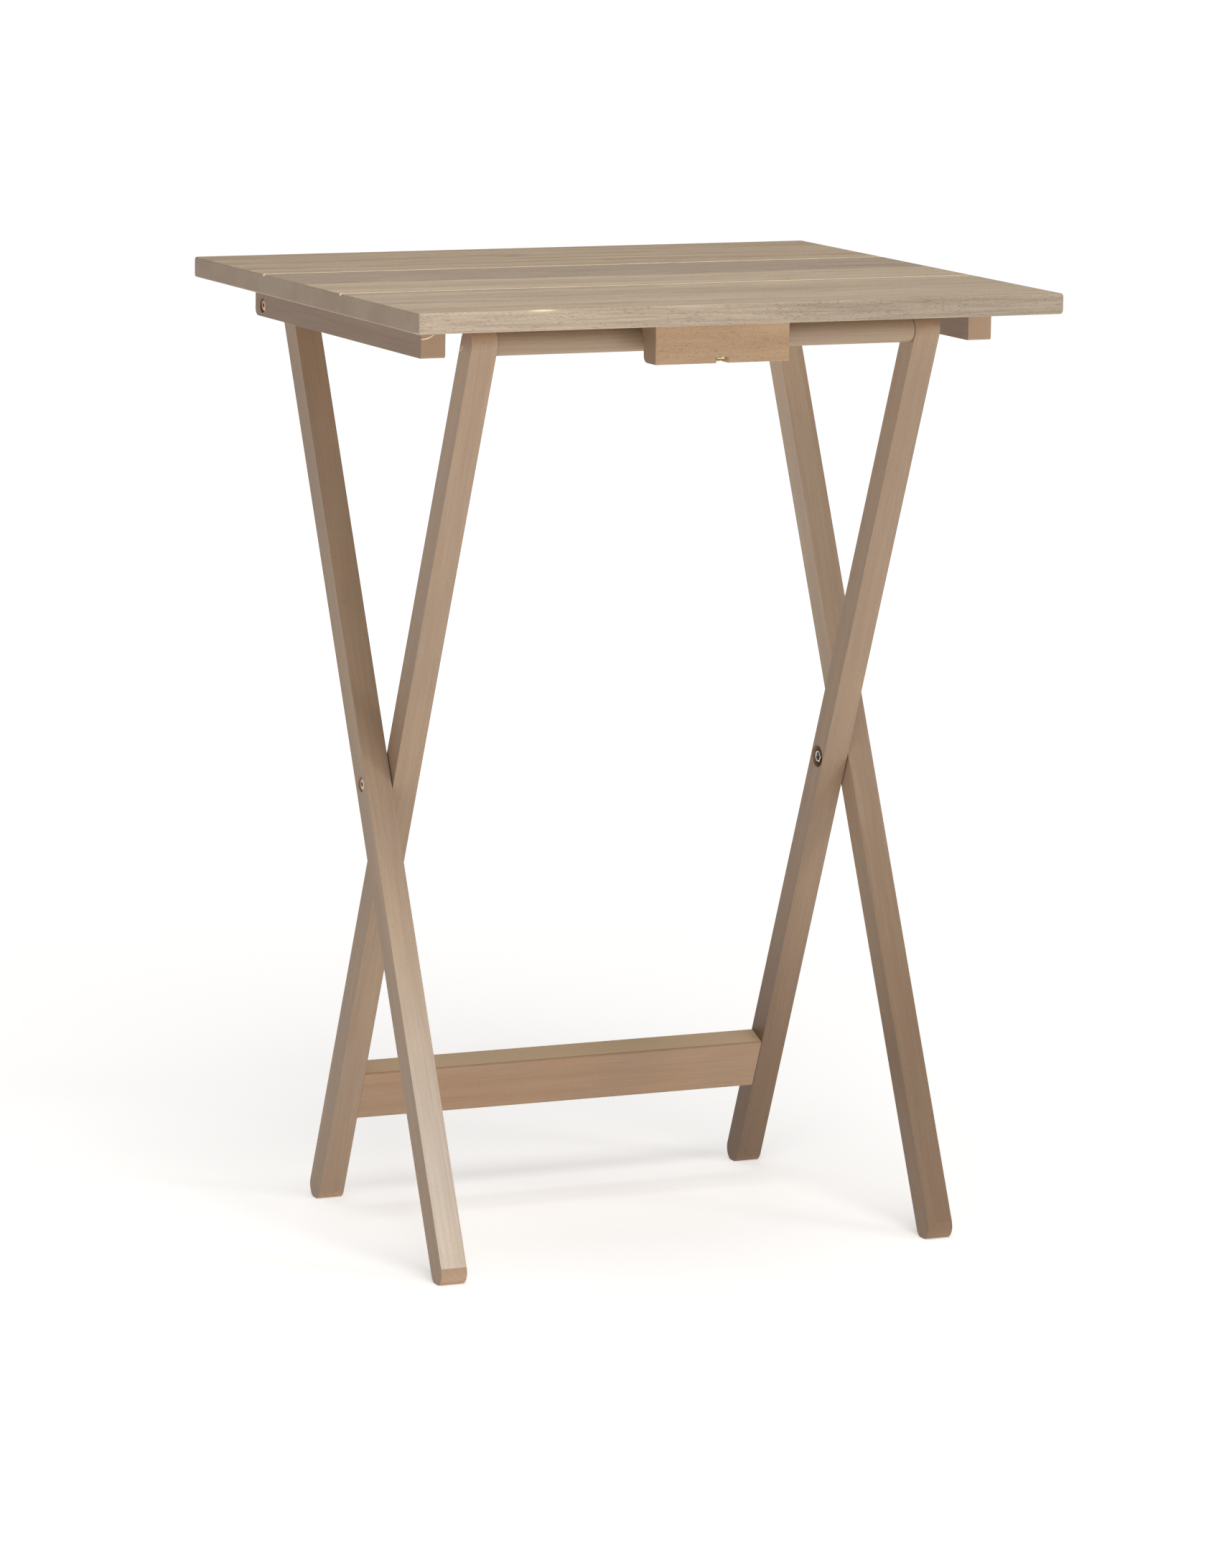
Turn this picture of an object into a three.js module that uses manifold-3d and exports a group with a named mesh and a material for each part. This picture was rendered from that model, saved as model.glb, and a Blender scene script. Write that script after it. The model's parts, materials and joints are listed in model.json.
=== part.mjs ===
// Folding tray table: a three-board top on two rails, two crossed pairs of legs that turn on
// bolts, a round crossbar that snaps into a latch block under the top, and a rear stretcher.
// Millimetres. X runs across the table, +Y to the rear, +Z up.
// The origin is on the floor, under the middle of the top.

import * as THREE from 'three';
import { mergeVertices } from 'three/addons/utils/BufferGeometryUtils.js';
import Module from 'manifold-3d';

const wasm = await Module();
wasm.setup();

// ---- Driving dimensions ----

const top = {
  width: 482.6,
  depth: 406.4,
  height: 673.1,
  thickness: 14.3,
  edgeRadius: 1.8,
  cornerRadius: 4,
  rearBoardDepth: 132.6,
  frontBoardDepth: 135.1,
  glueLine: 0.3,
  seamBevel: 0.9,
};

const rail = {
  thickness: 17.8,
  height: 22.7,
  sideInset: 26.45,
  frontInset: 57.6,
  rearInset: 51.7,
  rearCornerRadius: 5,
  frontCornerRadius: 1.5,
  seatGap: 0.2,
  endScrewInset: 40,
};

const leg = {
  thickness: 19,
  depth: 18.6,
  footFlatDepth: 0.6,
  railGap: 0.6,
  legGap: 1,
};

// The hinge lines, each parallel to X.
const hinge = {
  drop: 14.8, // rear pivot and crossbar axis below the underside of the top
  rearInset: 65.1, // rear pivot, from the rear edge of the top
  crossHeight: 324, // middle pivot above the floor
  crossForward: 5.6, // middle pivot in front of the middle of the top
};

const crossbar = {
  radius: 9,
  tenonRadius: 5.5,
  tenonLength: 12,
  shoulderGap: 0.2,
};

const stretcher = {
  height: 38.5,
  thickness: 18,
  edgeRadius: 1.5,
  upFromFoot: 81.5, // middle of the board, along the leg from the middle of the foot's arc
  endGap: 0.2,
};

const pin = {
  radius: 3,
  length: 20,
  spacing: 20,
};

const latch = {
  width: 100.7,
  frontInset: 39.6,
  wallThickness: 19.4,
  barGap: 1.6, // between the wall and the crossbar
  ledgeDepth: 38,
  rearCornerRadius: 5,
  coveGap: 0.3,
  seatGap: 0.2,
  slotWidth: 9.4,
  slotHeight: 4,
  screwSpacing: 66,
};

const spring = {
  width: 6,
  thickness: 1.4,
  frontInset: 2.6,
  screwInset: 6.2,
  roofGap: 0.1,
  barGap: 2.6, // under the crossbar
  humpRise: 6,
  humpRun: 7,
  humpGap: 3,
};

const bolt = {
  shankRadius: 2.5,
  headRadius: 4.8,
  headHeight: 1.7,
  edgeInset: 0.5,
  edgeDrop: 0.6,
  socketAcrossFlats: 3,
  socketDepth: 1.1,
  recessGap: 0.4,
  recessDepth: 2.6,
  holeGap: 0.2,
  endInset: 0.6, // end of the shank inside the outer face of the nut
};

const nut = {
  acrossFlats: 8,
  height: 3.6,
  boreGap: 0.15,
  counterboreRadius: 8,
  counterboreDepth: 5.2,
};

const washer = {
  radius: 6,
  thickness: 1,
  spacerThickness: 0.6,
};

const railScrew = {
  shankRadius: 1.75,
  headRadius: 3.6,
  headHeight: 3,
  headLand: 0.9,
  tipLength: 3.5,
  grip: 12, // wood left between the head and the underside of the top
  bite: 9,
};

const latchScrew = {
  shankRadius: 1.75,
  headRadius: 3.6,
  headHeight: 3,
  headLand: 0.9,
  tipLength: 3.5,
  grip: 18,
  bite: 9,
};

const springScrew = {
  shankRadius: 1.4,
  headRadius: 2.6,
  headHeight: 1.8,
  crownRadius: 1.6,
  rimRadius: 2.4,
  rimHeight: 1.1,
  tipLength: 2.8,
  bite: 9,
};

const holeGap = 0.2; // around a screw, pin or tenon
const headBoreGap = 0.6;
const endClearance = 0.5; // space past the tip of a screw, pin or tenon
const partGap = 0.1; // between a metal face and what it bears on
const roundSides = 32;
const smallSides = 20;
const cornerSteps = 6; // straight steps along a corner's arc
const legEndSteps = 12;
const coveSteps = 10;
const boreSteps = 20;
const humpSteps = 12;
const cutOverrun = 5;
const weldDistance = 1e-5;

// ---- Places that follow from the dimensions ----

const undersideZ = top.height - top.thickness;
const frontY = -top.depth / 2;
const rearY = top.depth / 2;
const railOuterX = top.width / 2 - rail.sideInset;
const railInnerX = railOuterX - rail.thickness;
const outerLegX = railInnerX - leg.railGap;
const outerLegInnerX = outerLegX - leg.thickness;
const innerLegX = outerLegInnerX - leg.legGap;
const innerLegInnerX = innerLegX - leg.thickness;

const latchFrontY = frontY + latch.frontInset;
const latchWallRearY = latchFrontY + latch.wallThickness;

const hingeZ = undersideZ - hinge.drop;
const rearPivot = { y: rearY - hinge.rearInset, z: hingeZ };
const barAxis = { y: latchWallRearY + latch.barGap + crossbar.radius, z: hingeZ };
const crossPivot = { y: -hinge.crossForward, z: hinge.crossHeight };

const legRadius = leg.depth / 2;
const footArcZ = legRadius - leg.footFlatDepth;

// Lean from the vertical, positive where the upper end is to the rear.
const outerLean = Math.atan2(rearPivot.y - crossPivot.y, rearPivot.z - crossPivot.z);
const innerLean = Math.atan2(barAxis.y - crossPivot.y, barAxis.z - crossPivot.z);
const outerUpper = Math.hypot(rearPivot.y - crossPivot.y, rearPivot.z - crossPivot.z);
const innerUpper = Math.hypot(barAxis.y - crossPivot.y, barAxis.z - crossPivot.z);
const outerLower = (crossPivot.z - footArcZ) / Math.cos(outerLean);
const innerLower = (crossPivot.z - footArcZ) / Math.cos(innerLean);

const latchTopZ = undersideZ - latch.seatGap;
const springTopZ = barAxis.z - crossbar.radius - spring.barGap;
const slotRoofZ = springTopZ + spring.roofGap;
const latchBottomZ = slotRoofZ - latch.slotHeight;

// ---- Materials ----

function finish(color, roughness, metalness) {
  return new THREE.MeshStandardMaterial({ color, roughness, metalness });
}

const greyWood = [0xac9c86, 0x96887a, 0xa99a84];
const legColor = 0xa88e74;
const blockColor = 0xb0937a;
const bronze = 0x7d6550;
const steel = 0x9c9c96;
const brass = 0xc2a25c;

// ---- Shapes ----

// One closed body from a geometry, with the vertices that faces share merged.
function solidOf(geometry) {
  const bare = geometry.clone();
  bare.deleteAttribute('normal');
  bare.deleteAttribute('uv');
  const merged = mergeVertices(bare, weldDistance);
  return new wasm.Manifold(new wasm.Mesh({
    numProp: 3,
    vertProperties: new Float32Array(merged.attributes.position.array),
    triVerts: new Uint32Array(merged.index.array),
  }));
}

function geometryOf(solid) {
  const mesh = solid.getMesh();
  const geometry = new THREE.BufferGeometry();
  geometry.setAttribute('position', new THREE.BufferAttribute(new Float32Array(mesh.vertProperties), 3));
  geometry.setIndex(new THREE.BufferAttribute(new Uint32Array(mesh.triVerts), 1));
  geometry.computeVertexNormals();
  return geometry;
}

function cut(geometry, tools) {
  let solid = solidOf(geometry);
  for (const tool of tools) {
    solid = solid.subtract(solidOf(tool));
  }
  return geometryOf(solid);
}

function common(geometry, others) {
  let solid = solidOf(geometry);
  for (const other of others) {
    solid = solid.intersect(solidOf(other));
  }
  return geometryOf(solid);
}

// A rectangle with its own radius at each corner: [low low, high low, high high, low high].
function roundedRectangle(a0, b0, a1, b1, radii) {
  const shape = new THREE.Shape();
  const corners = [[a0, b0, 1, 1], [a1, b0, -1, 1], [a1, b1, -1, -1], [a0, b1, 1, -1]];
  corners.forEach(([a, b, inA, inB], i) => {
    const r = radii[i];
    if (r > 0) {
      const start = Math.PI + i * Math.PI / 2;
      shape.absarc(a + inA * r, b + inB * r, r, start, start + Math.PI / 2, false);
    } else if (i === 0) {
      shape.moveTo(a, b);
    } else {
      shape.lineTo(a, b);
    }
  });
  shape.closePath();
  return shape;
}

// A shape drawn in (y, z), carried along X from x0 to x1.
function extrudeX(shape, x0, x1, curveSegments = cornerSteps) {
  const geometry = new THREE.ExtrudeGeometry(shape, { depth: x1 - x0, bevelEnabled: false, curveSegments });
  const turn = new THREE.Matrix4().makeBasis(
    new THREE.Vector3(0, 1, 0),
    new THREE.Vector3(0, 0, 1),
    new THREE.Vector3(1, 0, 0),
  );
  geometry.applyMatrix4(turn);
  geometry.translate(x0, 0, 0);
  return geometry;
}

// A shape drawn in (z, x), carried along Y from y0 to y1.
function extrudeY(shape, y0, y1, curveSegments = cornerSteps) {
  const geometry = new THREE.ExtrudeGeometry(shape, { depth: y1 - y0, bevelEnabled: false, curveSegments });
  const turn = new THREE.Matrix4().makeBasis(
    new THREE.Vector3(0, 0, 1),
    new THREE.Vector3(1, 0, 0),
    new THREE.Vector3(0, 1, 0),
  );
  geometry.applyMatrix4(turn);
  geometry.translate(0, y0, 0);
  return geometry;
}

function extrudeZ(shape, z0, z1, curveSegments = cornerSteps) {
  const geometry = new THREE.ExtrudeGeometry(shape, { depth: z1 - z0, bevelEnabled: false, curveSegments });
  geometry.translate(0, 0, z0);
  return geometry;
}

// A turned shape from [radius, along] pairs, with its axis along +X through (y, z).
function turnedX(profile, y, z, sides = roundSides) {
  const points = profile.map(([radius, along]) => new THREE.Vector2(radius, along));
  const geometry = new THREE.LatheGeometry(points, sides);
  geometry.rotateZ(-Math.PI / 2);
  geometry.translate(0, y, z);
  return geometry;
}

// The same with its axis along +Z through (x, y).
function turnedZ(profile, x, y, sides = smallSides) {
  const points = profile.map(([radius, along]) => new THREE.Vector2(radius, along));
  const geometry = new THREE.LatheGeometry(points, sides);
  geometry.rotateX(Math.PI / 2);
  geometry.translate(x, y, 0);
  return geometry;
}

function rodX(radius, x0, x1, y, z, sides = roundSides) {
  return turnedX([[0, x0], [radius, x0], [radius, x1], [0, x1]], y, z, sides);
}

function rodZ(radius, z0, z1, x, y, sides = smallSides) {
  return turnedZ([[0, z0], [radius, z0], [radius, z1], [0, z1]], x, y, sides);
}

function ringX(bore, radius, x0, x1, y, z) {
  return turnedX([[bore, x0], [radius, x0], [radius, x1], [bore, x1], [bore, x0]], y, z);
}

function hexagon(acrossFlats) {
  const shape = new THREE.Shape();
  const cornerRadius = acrossFlats / Math.sqrt(3);
  for (let i = 0; i < 6; i += 1) {
    const angle = i * Math.PI / 3;
    const y = cornerRadius * Math.cos(angle);
    const z = cornerRadius * Math.sin(angle);
    if (i === 0) {
      shape.moveTo(y, z);
    } else {
      shape.lineTo(y, z);
    }
  }
  shape.closePath();
  return shape;
}

const table = new THREE.Group();

function place(parent, name, geometry, material) {
  const mesh = new THREE.Mesh(geometry, material);
  mesh.name = name;
  parent.add(mesh);
  return mesh;
}

// Pieces come in left and right pairs. The left one is built as the mirror of the right one,
// so a pair's x values are given for the right side and multiplied by side.
const sides = [
  { name: 'left', side: -1 },
  { name: 'right', side: 1 },
];

function ordered(a, b) {
  return [Math.min(a, b), Math.max(a, b)];
}

function mirroredRodX(radius, xa, xb, side, y, z, count = roundSides) {
  const [x0, x1] = ordered(side * xa, side * xb);
  return rodX(radius, x0, x1, y, z, count);
}

function mirroredRingX(bore, radius, xa, xb, side, y, z) {
  const [x0, x1] = ordered(side * xa, side * xb);
  return ringX(bore, radius, x0, x1, y, z);
}

// ---- Screws driven upward into the top ----

const railMidX = (railOuterX + railInnerX) / 2;
const railFrontY = frontY + rail.frontInset;
const railRearY = rearY - rail.rearInset;
const railScrewYs = [
  railFrontY + rail.endScrewInset,
  (railFrontY + railRearY) / 2,
  railRearY - rail.endScrewInset,
];
const latchScrewY = latchFrontY + latch.wallThickness / 2;
const latchScrewXs = [-latch.screwSpacing / 2, latch.screwSpacing / 2];

function screwHead(size) {
  return undersideZ - size.grip;
}

function woodScrew(size, x, y) {
  const seat = screwHead(size);
  return turnedZ([
    [0, seat - size.headHeight],
    [size.headRadius, seat - size.headHeight],
    [size.headRadius, seat - size.headHeight + size.headLand],
    [size.shankRadius, seat],
    [size.shankRadius, undersideZ + size.bite - size.tipLength],
    [0, undersideZ + size.bite],
  ], x, y);
}

// The hole that a screw needs below the top: head bore from below, then the shank.
function screwBores(size, x, y, lowZ) {
  const seat = screwHead(size);
  return [
    rodZ(size.headRadius + headBoreGap, lowZ - cutOverrun, seat + holeGap, x, y),
    rodZ(size.shankRadius + holeGap, seat, undersideZ + cutOverrun, x, y),
  ];
}

function pilotHole(size, x, y) {
  const tip = undersideZ + size.bite + endClearance;
  return rodZ(size.shankRadius + holeGap, undersideZ - cutOverrun, tip, x, y);
}

const topScrews = [];
for (const { name, side } of sides) {
  railScrewYs.forEach((y, i) => {
    topScrews.push({ name: `rail_screw_${name}_${i + 1}`, size: railScrew, x: side * railMidX, y });
  });
}
latchScrewXs.forEach((x, i) => {
  topScrews.push({ name: `latch_block_screw_${i + 1}`, size: latchScrew, x, y: latchScrewY });
});

for (const { name, size, x, y } of topScrews) {
  place(table, name, woodScrew(size, x, y), finish(steel, 0.4, 0.9));
}

// ---- Top: three boards ----

const frontSeamY = frontY + top.frontBoardDepth;
const rearSeamY = rearY - top.rearBoardDepth;
const halfGlue = top.glueLine / 2;

const boards = [
  { name: 'top_board_front', y0: frontY, y1: frontSeamY - halfGlue, outer: [true, false] },
  { name: 'top_board_middle', y0: frontSeamY + halfGlue, y1: rearSeamY - halfGlue, outer: [false, false] },
  { name: 'top_board_rear', y0: rearSeamY + halfGlue, y1: rearY, outer: [false, true] },
];

// Section of a board in (y, z). An edge on the rim of the top is rounded, and an edge at a
// seam has a small bevel at its upper arris.
function boardSection({ y0, y1, outer }) {
  const r = top.edgeRadius;
  const z0 = undersideZ;
  const z1 = top.height;
  const shape = new THREE.Shape();
  if (outer[0]) {
    shape.absarc(y0 + r, z0 + r, r, Math.PI, Math.PI * 1.5, false);
  } else {
    shape.moveTo(y0, z0);
  }
  if (outer[1]) {
    shape.absarc(y1 - r, z0 + r, r, Math.PI * 1.5, Math.PI * 2, false);
    shape.absarc(y1 - r, z1 - r, r, 0, Math.PI / 2, false);
  } else {
    shape.lineTo(y1, z0);
    shape.lineTo(y1, z1 - top.seamBevel);
    shape.lineTo(y1 - top.seamBevel, z1);
  }
  if (outer[0]) {
    shape.absarc(y0 + r, z1 - r, r, Math.PI / 2, Math.PI, false);
  } else {
    shape.lineTo(y0 + top.seamBevel, z1);
    shape.lineTo(y0, z1 - top.seamBevel);
  }
  shape.closePath();
  return shape;
}

function topBoard(board) {
  const halfWidth = top.width / 2;
  const r = top.edgeRadius;
  const c = top.cornerRadius;
  const section = extrudeX(boardSection(board), -halfWidth - cutOverrun, halfWidth + cutOverrun);
  const across = roundedRectangle(undersideZ, -halfWidth, top.height, halfWidth, [r, r, r, r]);
  const ends = extrudeY(across, frontY - cutOverrun, rearY + cutOverrun);
  const outline = roundedRectangle(-halfWidth, frontY, halfWidth, rearY, [c, c, c, c]);
  const plan = extrudeZ(outline, undersideZ - cutOverrun, top.height + cutOverrun);
  const blank = common(section, [ends, plan]);
  const pilots = topScrews
    .filter(({ y }) => y > board.y0 && y < board.y1)
    .map(({ size, x, y }) => pilotHole(size, x, y));
  return cut(blank, pilots);
}

boards.forEach((board, i) => {
  place(table, board.name, topBoard(board), finish(greyWood[i], 0.62, 0));
});

// ---- Rails under the top ----

const railTopZ = undersideZ - rail.seatGap;
const railBottomZ = undersideZ - rail.height;
const recessRadius = bolt.headRadius + bolt.recessGap;
const boltHoleRadius = bolt.shankRadius + bolt.holeGap;

for (const { name, side } of sides) {
  const section = roundedRectangle(
    railFrontY,
    railBottomZ,
    railRearY,
    railTopZ,
    [rail.frontCornerRadius, rail.rearCornerRadius, 0, 0],
  );
  const [x0, x1] = ordered(side * railOuterX, side * railInnerX);
  const blank = extrudeX(section, x0, x1);
  const bores = railScrewYs.flatMap((y) => screwBores(railScrew, side * railMidX, y, railBottomZ));
  const recess = mirroredRodX(
    recessRadius,
    railOuterX + cutOverrun,
    railOuterX - bolt.recessDepth,
    side,
    rearPivot.y,
    rearPivot.z,
  );
  const hole = mirroredRodX(
    boltHoleRadius,
    railOuterX + cutOverrun,
    railInnerX - cutOverrun,
    side,
    rearPivot.y,
    rearPivot.z,
  );
  place(table, `side_rail_${name}`, cut(blank, [...bores, recess, hole]), finish(legColor, 0.6, 0));
}

// ---- Latch block, its brass spring and the spring's screw ----

const springFrontY = latchFrontY + spring.frontInset;
const springScrewY = latchFrontY + spring.screwInset;
const springHumpY = barAxis.y + crossbar.radius + spring.humpGap;

function latchSection() {
  const coveRadius = crossbar.radius + latch.coveGap;
  const r = latch.rearCornerRadius;
  const shape = new THREE.Shape();
  shape.moveTo(latchFrontY, latchBottomZ);
  shape.absarc(latchWallRearY - r, latchBottomZ + r, r, -Math.PI / 2, 0, false);
  shape.lineTo(latchWallRearY, barAxis.z);
  shape.absarc(barAxis.y, barAxis.z, coveRadius, Math.PI, Math.PI / 2, true);
  shape.lineTo(latchFrontY + latch.ledgeDepth, barAxis.z + coveRadius);
  shape.lineTo(latchFrontY + latch.ledgeDepth, latchTopZ);
  shape.lineTo(latchFrontY, latchTopZ);
  shape.closePath();
  return shape;
}

function latchBlock() {
  const blank = extrudeX(latchSection(), -latch.width / 2, latch.width / 2, coveSteps);
  const slot = new THREE.BoxGeometry(
    latch.slotWidth,
    latch.wallThickness + 2 * cutOverrun,
    latch.slotHeight + cutOverrun,
  );
  slot.translate(
    0,
    (latchFrontY + latchWallRearY) / 2,
    slotRoofZ - (latch.slotHeight + cutOverrun) / 2,
  );
  const bores = latchScrewXs.flatMap((x) => screwBores(latchScrew, x, latchScrewY, latchBottomZ));
  const springPilot = rodZ(
    springScrew.shankRadius + holeGap,
    slotRoofZ - cutOverrun,
    slotRoofZ + springScrew.bite + endClearance,
    0,
    springScrewY,
  );
  return cut(blank, [slot, ...bores, springPilot]);
}

// The strip is flat under the block and the crossbar, then rises in a hump behind the bar.
function latchSpringCentre() {
  const z = springTopZ - spring.thickness / 2;
  const points = [new THREE.Vector2(springFrontY, z)];
  for (let i = 0; i <= humpSteps; i += 1) {
    const share = i / humpSteps;
    const rise = spring.humpRise * Math.sin(Math.PI * share) ** 2;
    points.push(new THREE.Vector2(springHumpY + 2 * spring.humpRun * (share - 0.5), z + rise));
  }
  return points;
}

function stripOutline(centre, thickness) {
  const upper = [];
  const lower = [];
  centre.forEach((point, i) => {
    const before = centre[Math.max(i - 1, 0)];
    const after = centre[Math.min(i + 1, centre.length - 1)];
    const along = after.clone().sub(before).normalize();
    const across = new THREE.Vector2(-along.y, along.x).multiplyScalar(thickness / 2);
    upper.push(point.clone().add(across));
    lower.push(point.clone().sub(across));
  });
  return new THREE.Shape([...lower, ...upper.reverse()]);
}

function latchSpring() {
  const outline = stripOutline(latchSpringCentre(), spring.thickness);
  const strip = extrudeX(outline, -spring.width / 2, spring.width / 2);
  const hole = rodZ(
    springScrew.shankRadius + holeGap,
    springTopZ - spring.thickness - cutOverrun,
    springTopZ + cutOverrun,
    0,
    springScrewY,
  );
  return cut(strip, [hole]);
}

function latchSpringScrew() {
  const seat = springTopZ - spring.thickness - partGap;
  const tip = slotRoofZ + springScrew.bite;
  return turnedZ([
    [0, seat - springScrew.headHeight],
    [springScrew.crownRadius, seat - springScrew.headHeight],
    [springScrew.rimRadius, seat - springScrew.rimHeight],
    [springScrew.headRadius, seat],
    [springScrew.shankRadius, seat],
    [springScrew.shankRadius, tip - springScrew.tipLength],
    [0, tip],
  ], 0, springScrewY);
}

place(table, 'latch_block', latchBlock(), finish(blockColor, 0.6, 0));
place(table, 'latch_spring', latchSpring(), finish(brass, 0.35, 1));
place(table, 'latch_spring_screw', latchSpringScrew(), finish(steel, 0.35, 1));

// ---- Legs ----

// Outline of a leg in its own upright frame, with the middle pivot at (0, 0): both ends are
// half round, and the foot has a small flat that is level once the leg leans.
function legOutline(upper, lower, lean) {
  const r = legRadius;
  const down = lean - Math.PI / 2;
  const half = Math.acos((r - leg.footFlatDepth) / r);
  const shape = new THREE.Shape();
  shape.absarc(0, upper, r, 0, Math.PI, false);
  shape.absarc(0, -lower, r, Math.PI, 2 * Math.PI + down - half, false);
  shape.absarc(0, -lower, r, 2 * Math.PI + down + half, 2 * Math.PI, false);
  shape.closePath();
  return shape;
}

function leanGroup(lean) {
  const group = new THREE.Group();
  group.position.set(0, crossPivot.y, crossPivot.z);
  group.rotation.x = -lean;
  table.add(group);
  return group;
}

const outerGroup = leanGroup(outerLean);
const innerGroup = leanGroup(innerLean);
const barShoulderX = innerLegInnerX - crossbar.shoulderGap;
const stretcherEndX = innerLegInnerX - stretcher.endGap;
const stretcherAlong = -innerLower + stretcher.upFromFoot;
const pinAlongs = [stretcherAlong - pin.spacing / 2, stretcherAlong + pin.spacing / 2];
const pinDepth = pin.length / 2 + endClearance;

for (const { name, side } of sides) {
  const bore = (radius, xa, xb, along) => mirroredRodX(radius, xa, xb, side, 0, along);

  const [outer0, outer1] = ordered(side * outerLegX, side * outerLegInnerX);
  const outerOutline = legOutline(outerUpper, outerLower, outerLean);
  const outerBlank = extrudeX(outerOutline, outer0, outer1, legEndSteps);
  const outerNutX = outerLegInnerX + nut.counterboreDepth;
  const outerLeg = cut(outerBlank, [
    bore(boltHoleRadius, outerLegX + cutOverrun, outerLegInnerX - cutOverrun, outerUpper),
    bore(nut.counterboreRadius, outerNutX, outerLegInnerX - cutOverrun, outerUpper),
    bore(boltHoleRadius, outerLegX + cutOverrun, outerLegInnerX - cutOverrun, 0),
    bore(recessRadius, outerLegX + cutOverrun, outerLegX - bolt.recessDepth, 0),
  ]);
  place(outerGroup, `outer_leg_${name}`, outerLeg, finish(legColor, 0.6, 0));

  const [inner0, inner1] = ordered(side * innerLegX, side * innerLegInnerX);
  const innerOutline = legOutline(innerUpper, innerLower, innerLean);
  const innerBlank = extrudeX(innerOutline, inner0, inner1, legEndSteps);
  const innerNutX = innerLegInnerX + nut.counterboreDepth;
  const mortiseX = innerLegInnerX + crossbar.tenonLength + endClearance;
  const mortiseRadius = crossbar.tenonRadius + holeGap;
  const innerLeg = cut(innerBlank, [
    bore(boltHoleRadius, innerLegX + cutOverrun, innerLegInnerX - cutOverrun, 0),
    bore(nut.counterboreRadius, innerNutX, innerLegInnerX - cutOverrun, 0),
    bore(mortiseRadius, mortiseX, innerLegInnerX - cutOverrun, innerUpper),
    ...pinAlongs.map((along) => bore(
      pin.radius + holeGap,
      innerLegInnerX + pinDepth,
      innerLegInnerX - cutOverrun,
      along,
    )),
  ]);
  place(innerGroup, `inner_leg_${name}`, innerLeg, finish(legColor, 0.6, 0));

  pinAlongs.forEach((along, i) => {
    const stretcherPin = mirroredRodX(
      pin.radius,
      stretcherEndX - pin.length / 2,
      stretcherEndX + pin.length / 2,
      side,
      0,
      along,
      smallSides,
    );
    place(innerGroup, `stretcher_pin_${name}_${i + 1}`, stretcherPin, finish(blockColor, 0.7, 0));
  });
}

// ---- Crossbar and stretcher between the inner legs ----

const tenonEndX = barShoulderX + crossbar.tenonLength;
const bar = turnedX([
  [0, -tenonEndX],
  [crossbar.tenonRadius, -tenonEndX],
  [crossbar.tenonRadius, -barShoulderX],
  [crossbar.radius, -barShoulderX],
  [crossbar.radius, barShoulderX],
  [crossbar.tenonRadius, barShoulderX],
  [crossbar.tenonRadius, tenonEndX],
  [0, tenonEndX],
], 0, innerUpper);
place(innerGroup, 'crossbar', bar, finish(legColor, 0.6, 0));

const stretcherSection = roundedRectangle(
  -stretcher.thickness / 2,
  stretcherAlong - stretcher.height / 2,
  stretcher.thickness / 2,
  stretcherAlong + stretcher.height / 2,
  [stretcher.edgeRadius, stretcher.edgeRadius, stretcher.edgeRadius, stretcher.edgeRadius],
);
const stretcherBlank = extrudeX(stretcherSection, -stretcherEndX, stretcherEndX);
const stretcherBores = sides.flatMap(({ side }) => pinAlongs.map((along) => mirroredRodX(
  pin.radius + holeGap,
  stretcherEndX - pinDepth,
  stretcherEndX + cutOverrun,
  side,
  0,
  along,
)));
place(innerGroup, 'rear_stretcher', cut(stretcherBlank, stretcherBores), finish(legColor, 0.6, 0));

// ---- Pivot bolts with their washers and nuts ----

// A low socket-head bolt. headX is the floor of its recess, endX the end of the shank.
function pivotBolt(headX, endX, side, y, z) {
  const seatX = headX + partGap;
  const faceX = seatX + bolt.headHeight;
  const shank = mirroredRodX(bolt.shankRadius, endX, seatX + bolt.headHeight / 2, side, y, z, smallSides);
  const head = turnedX([
    [0, seatX],
    [bolt.headRadius, seatX],
    [bolt.headRadius, faceX - bolt.edgeDrop],
    [bolt.headRadius - bolt.edgeInset, faceX],
    [0, faceX],
  ], 0, 0);
  if (side < 0) {
    head.rotateY(Math.PI);
  }
  head.translate(0, y, z);
  const [socket0, socket1] = ordered(side * (faceX - bolt.socketDepth), side * (faceX + cutOverrun));
  const socket = extrudeX(hexagon(bolt.socketAcrossFlats), socket0, socket1);
  socket.translate(0, y, z);
  return geometryOf(solidOf(head).add(solidOf(shank)).subtract(solidOf(socket)));
}

function hexNut(xa, xb, side, y, z) {
  const outline = hexagon(nut.acrossFlats);
  const bore = new THREE.Path();
  bore.absarc(0, 0, bolt.shankRadius + nut.boreGap, 0, 2 * Math.PI, true);
  outline.holes.push(bore);
  const [x0, x1] = ordered(side * xa, side * xb);
  const geometry = extrudeX(outline, x0, x1, boreSteps);
  geometry.translate(0, y, z);
  return geometry;
}

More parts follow.
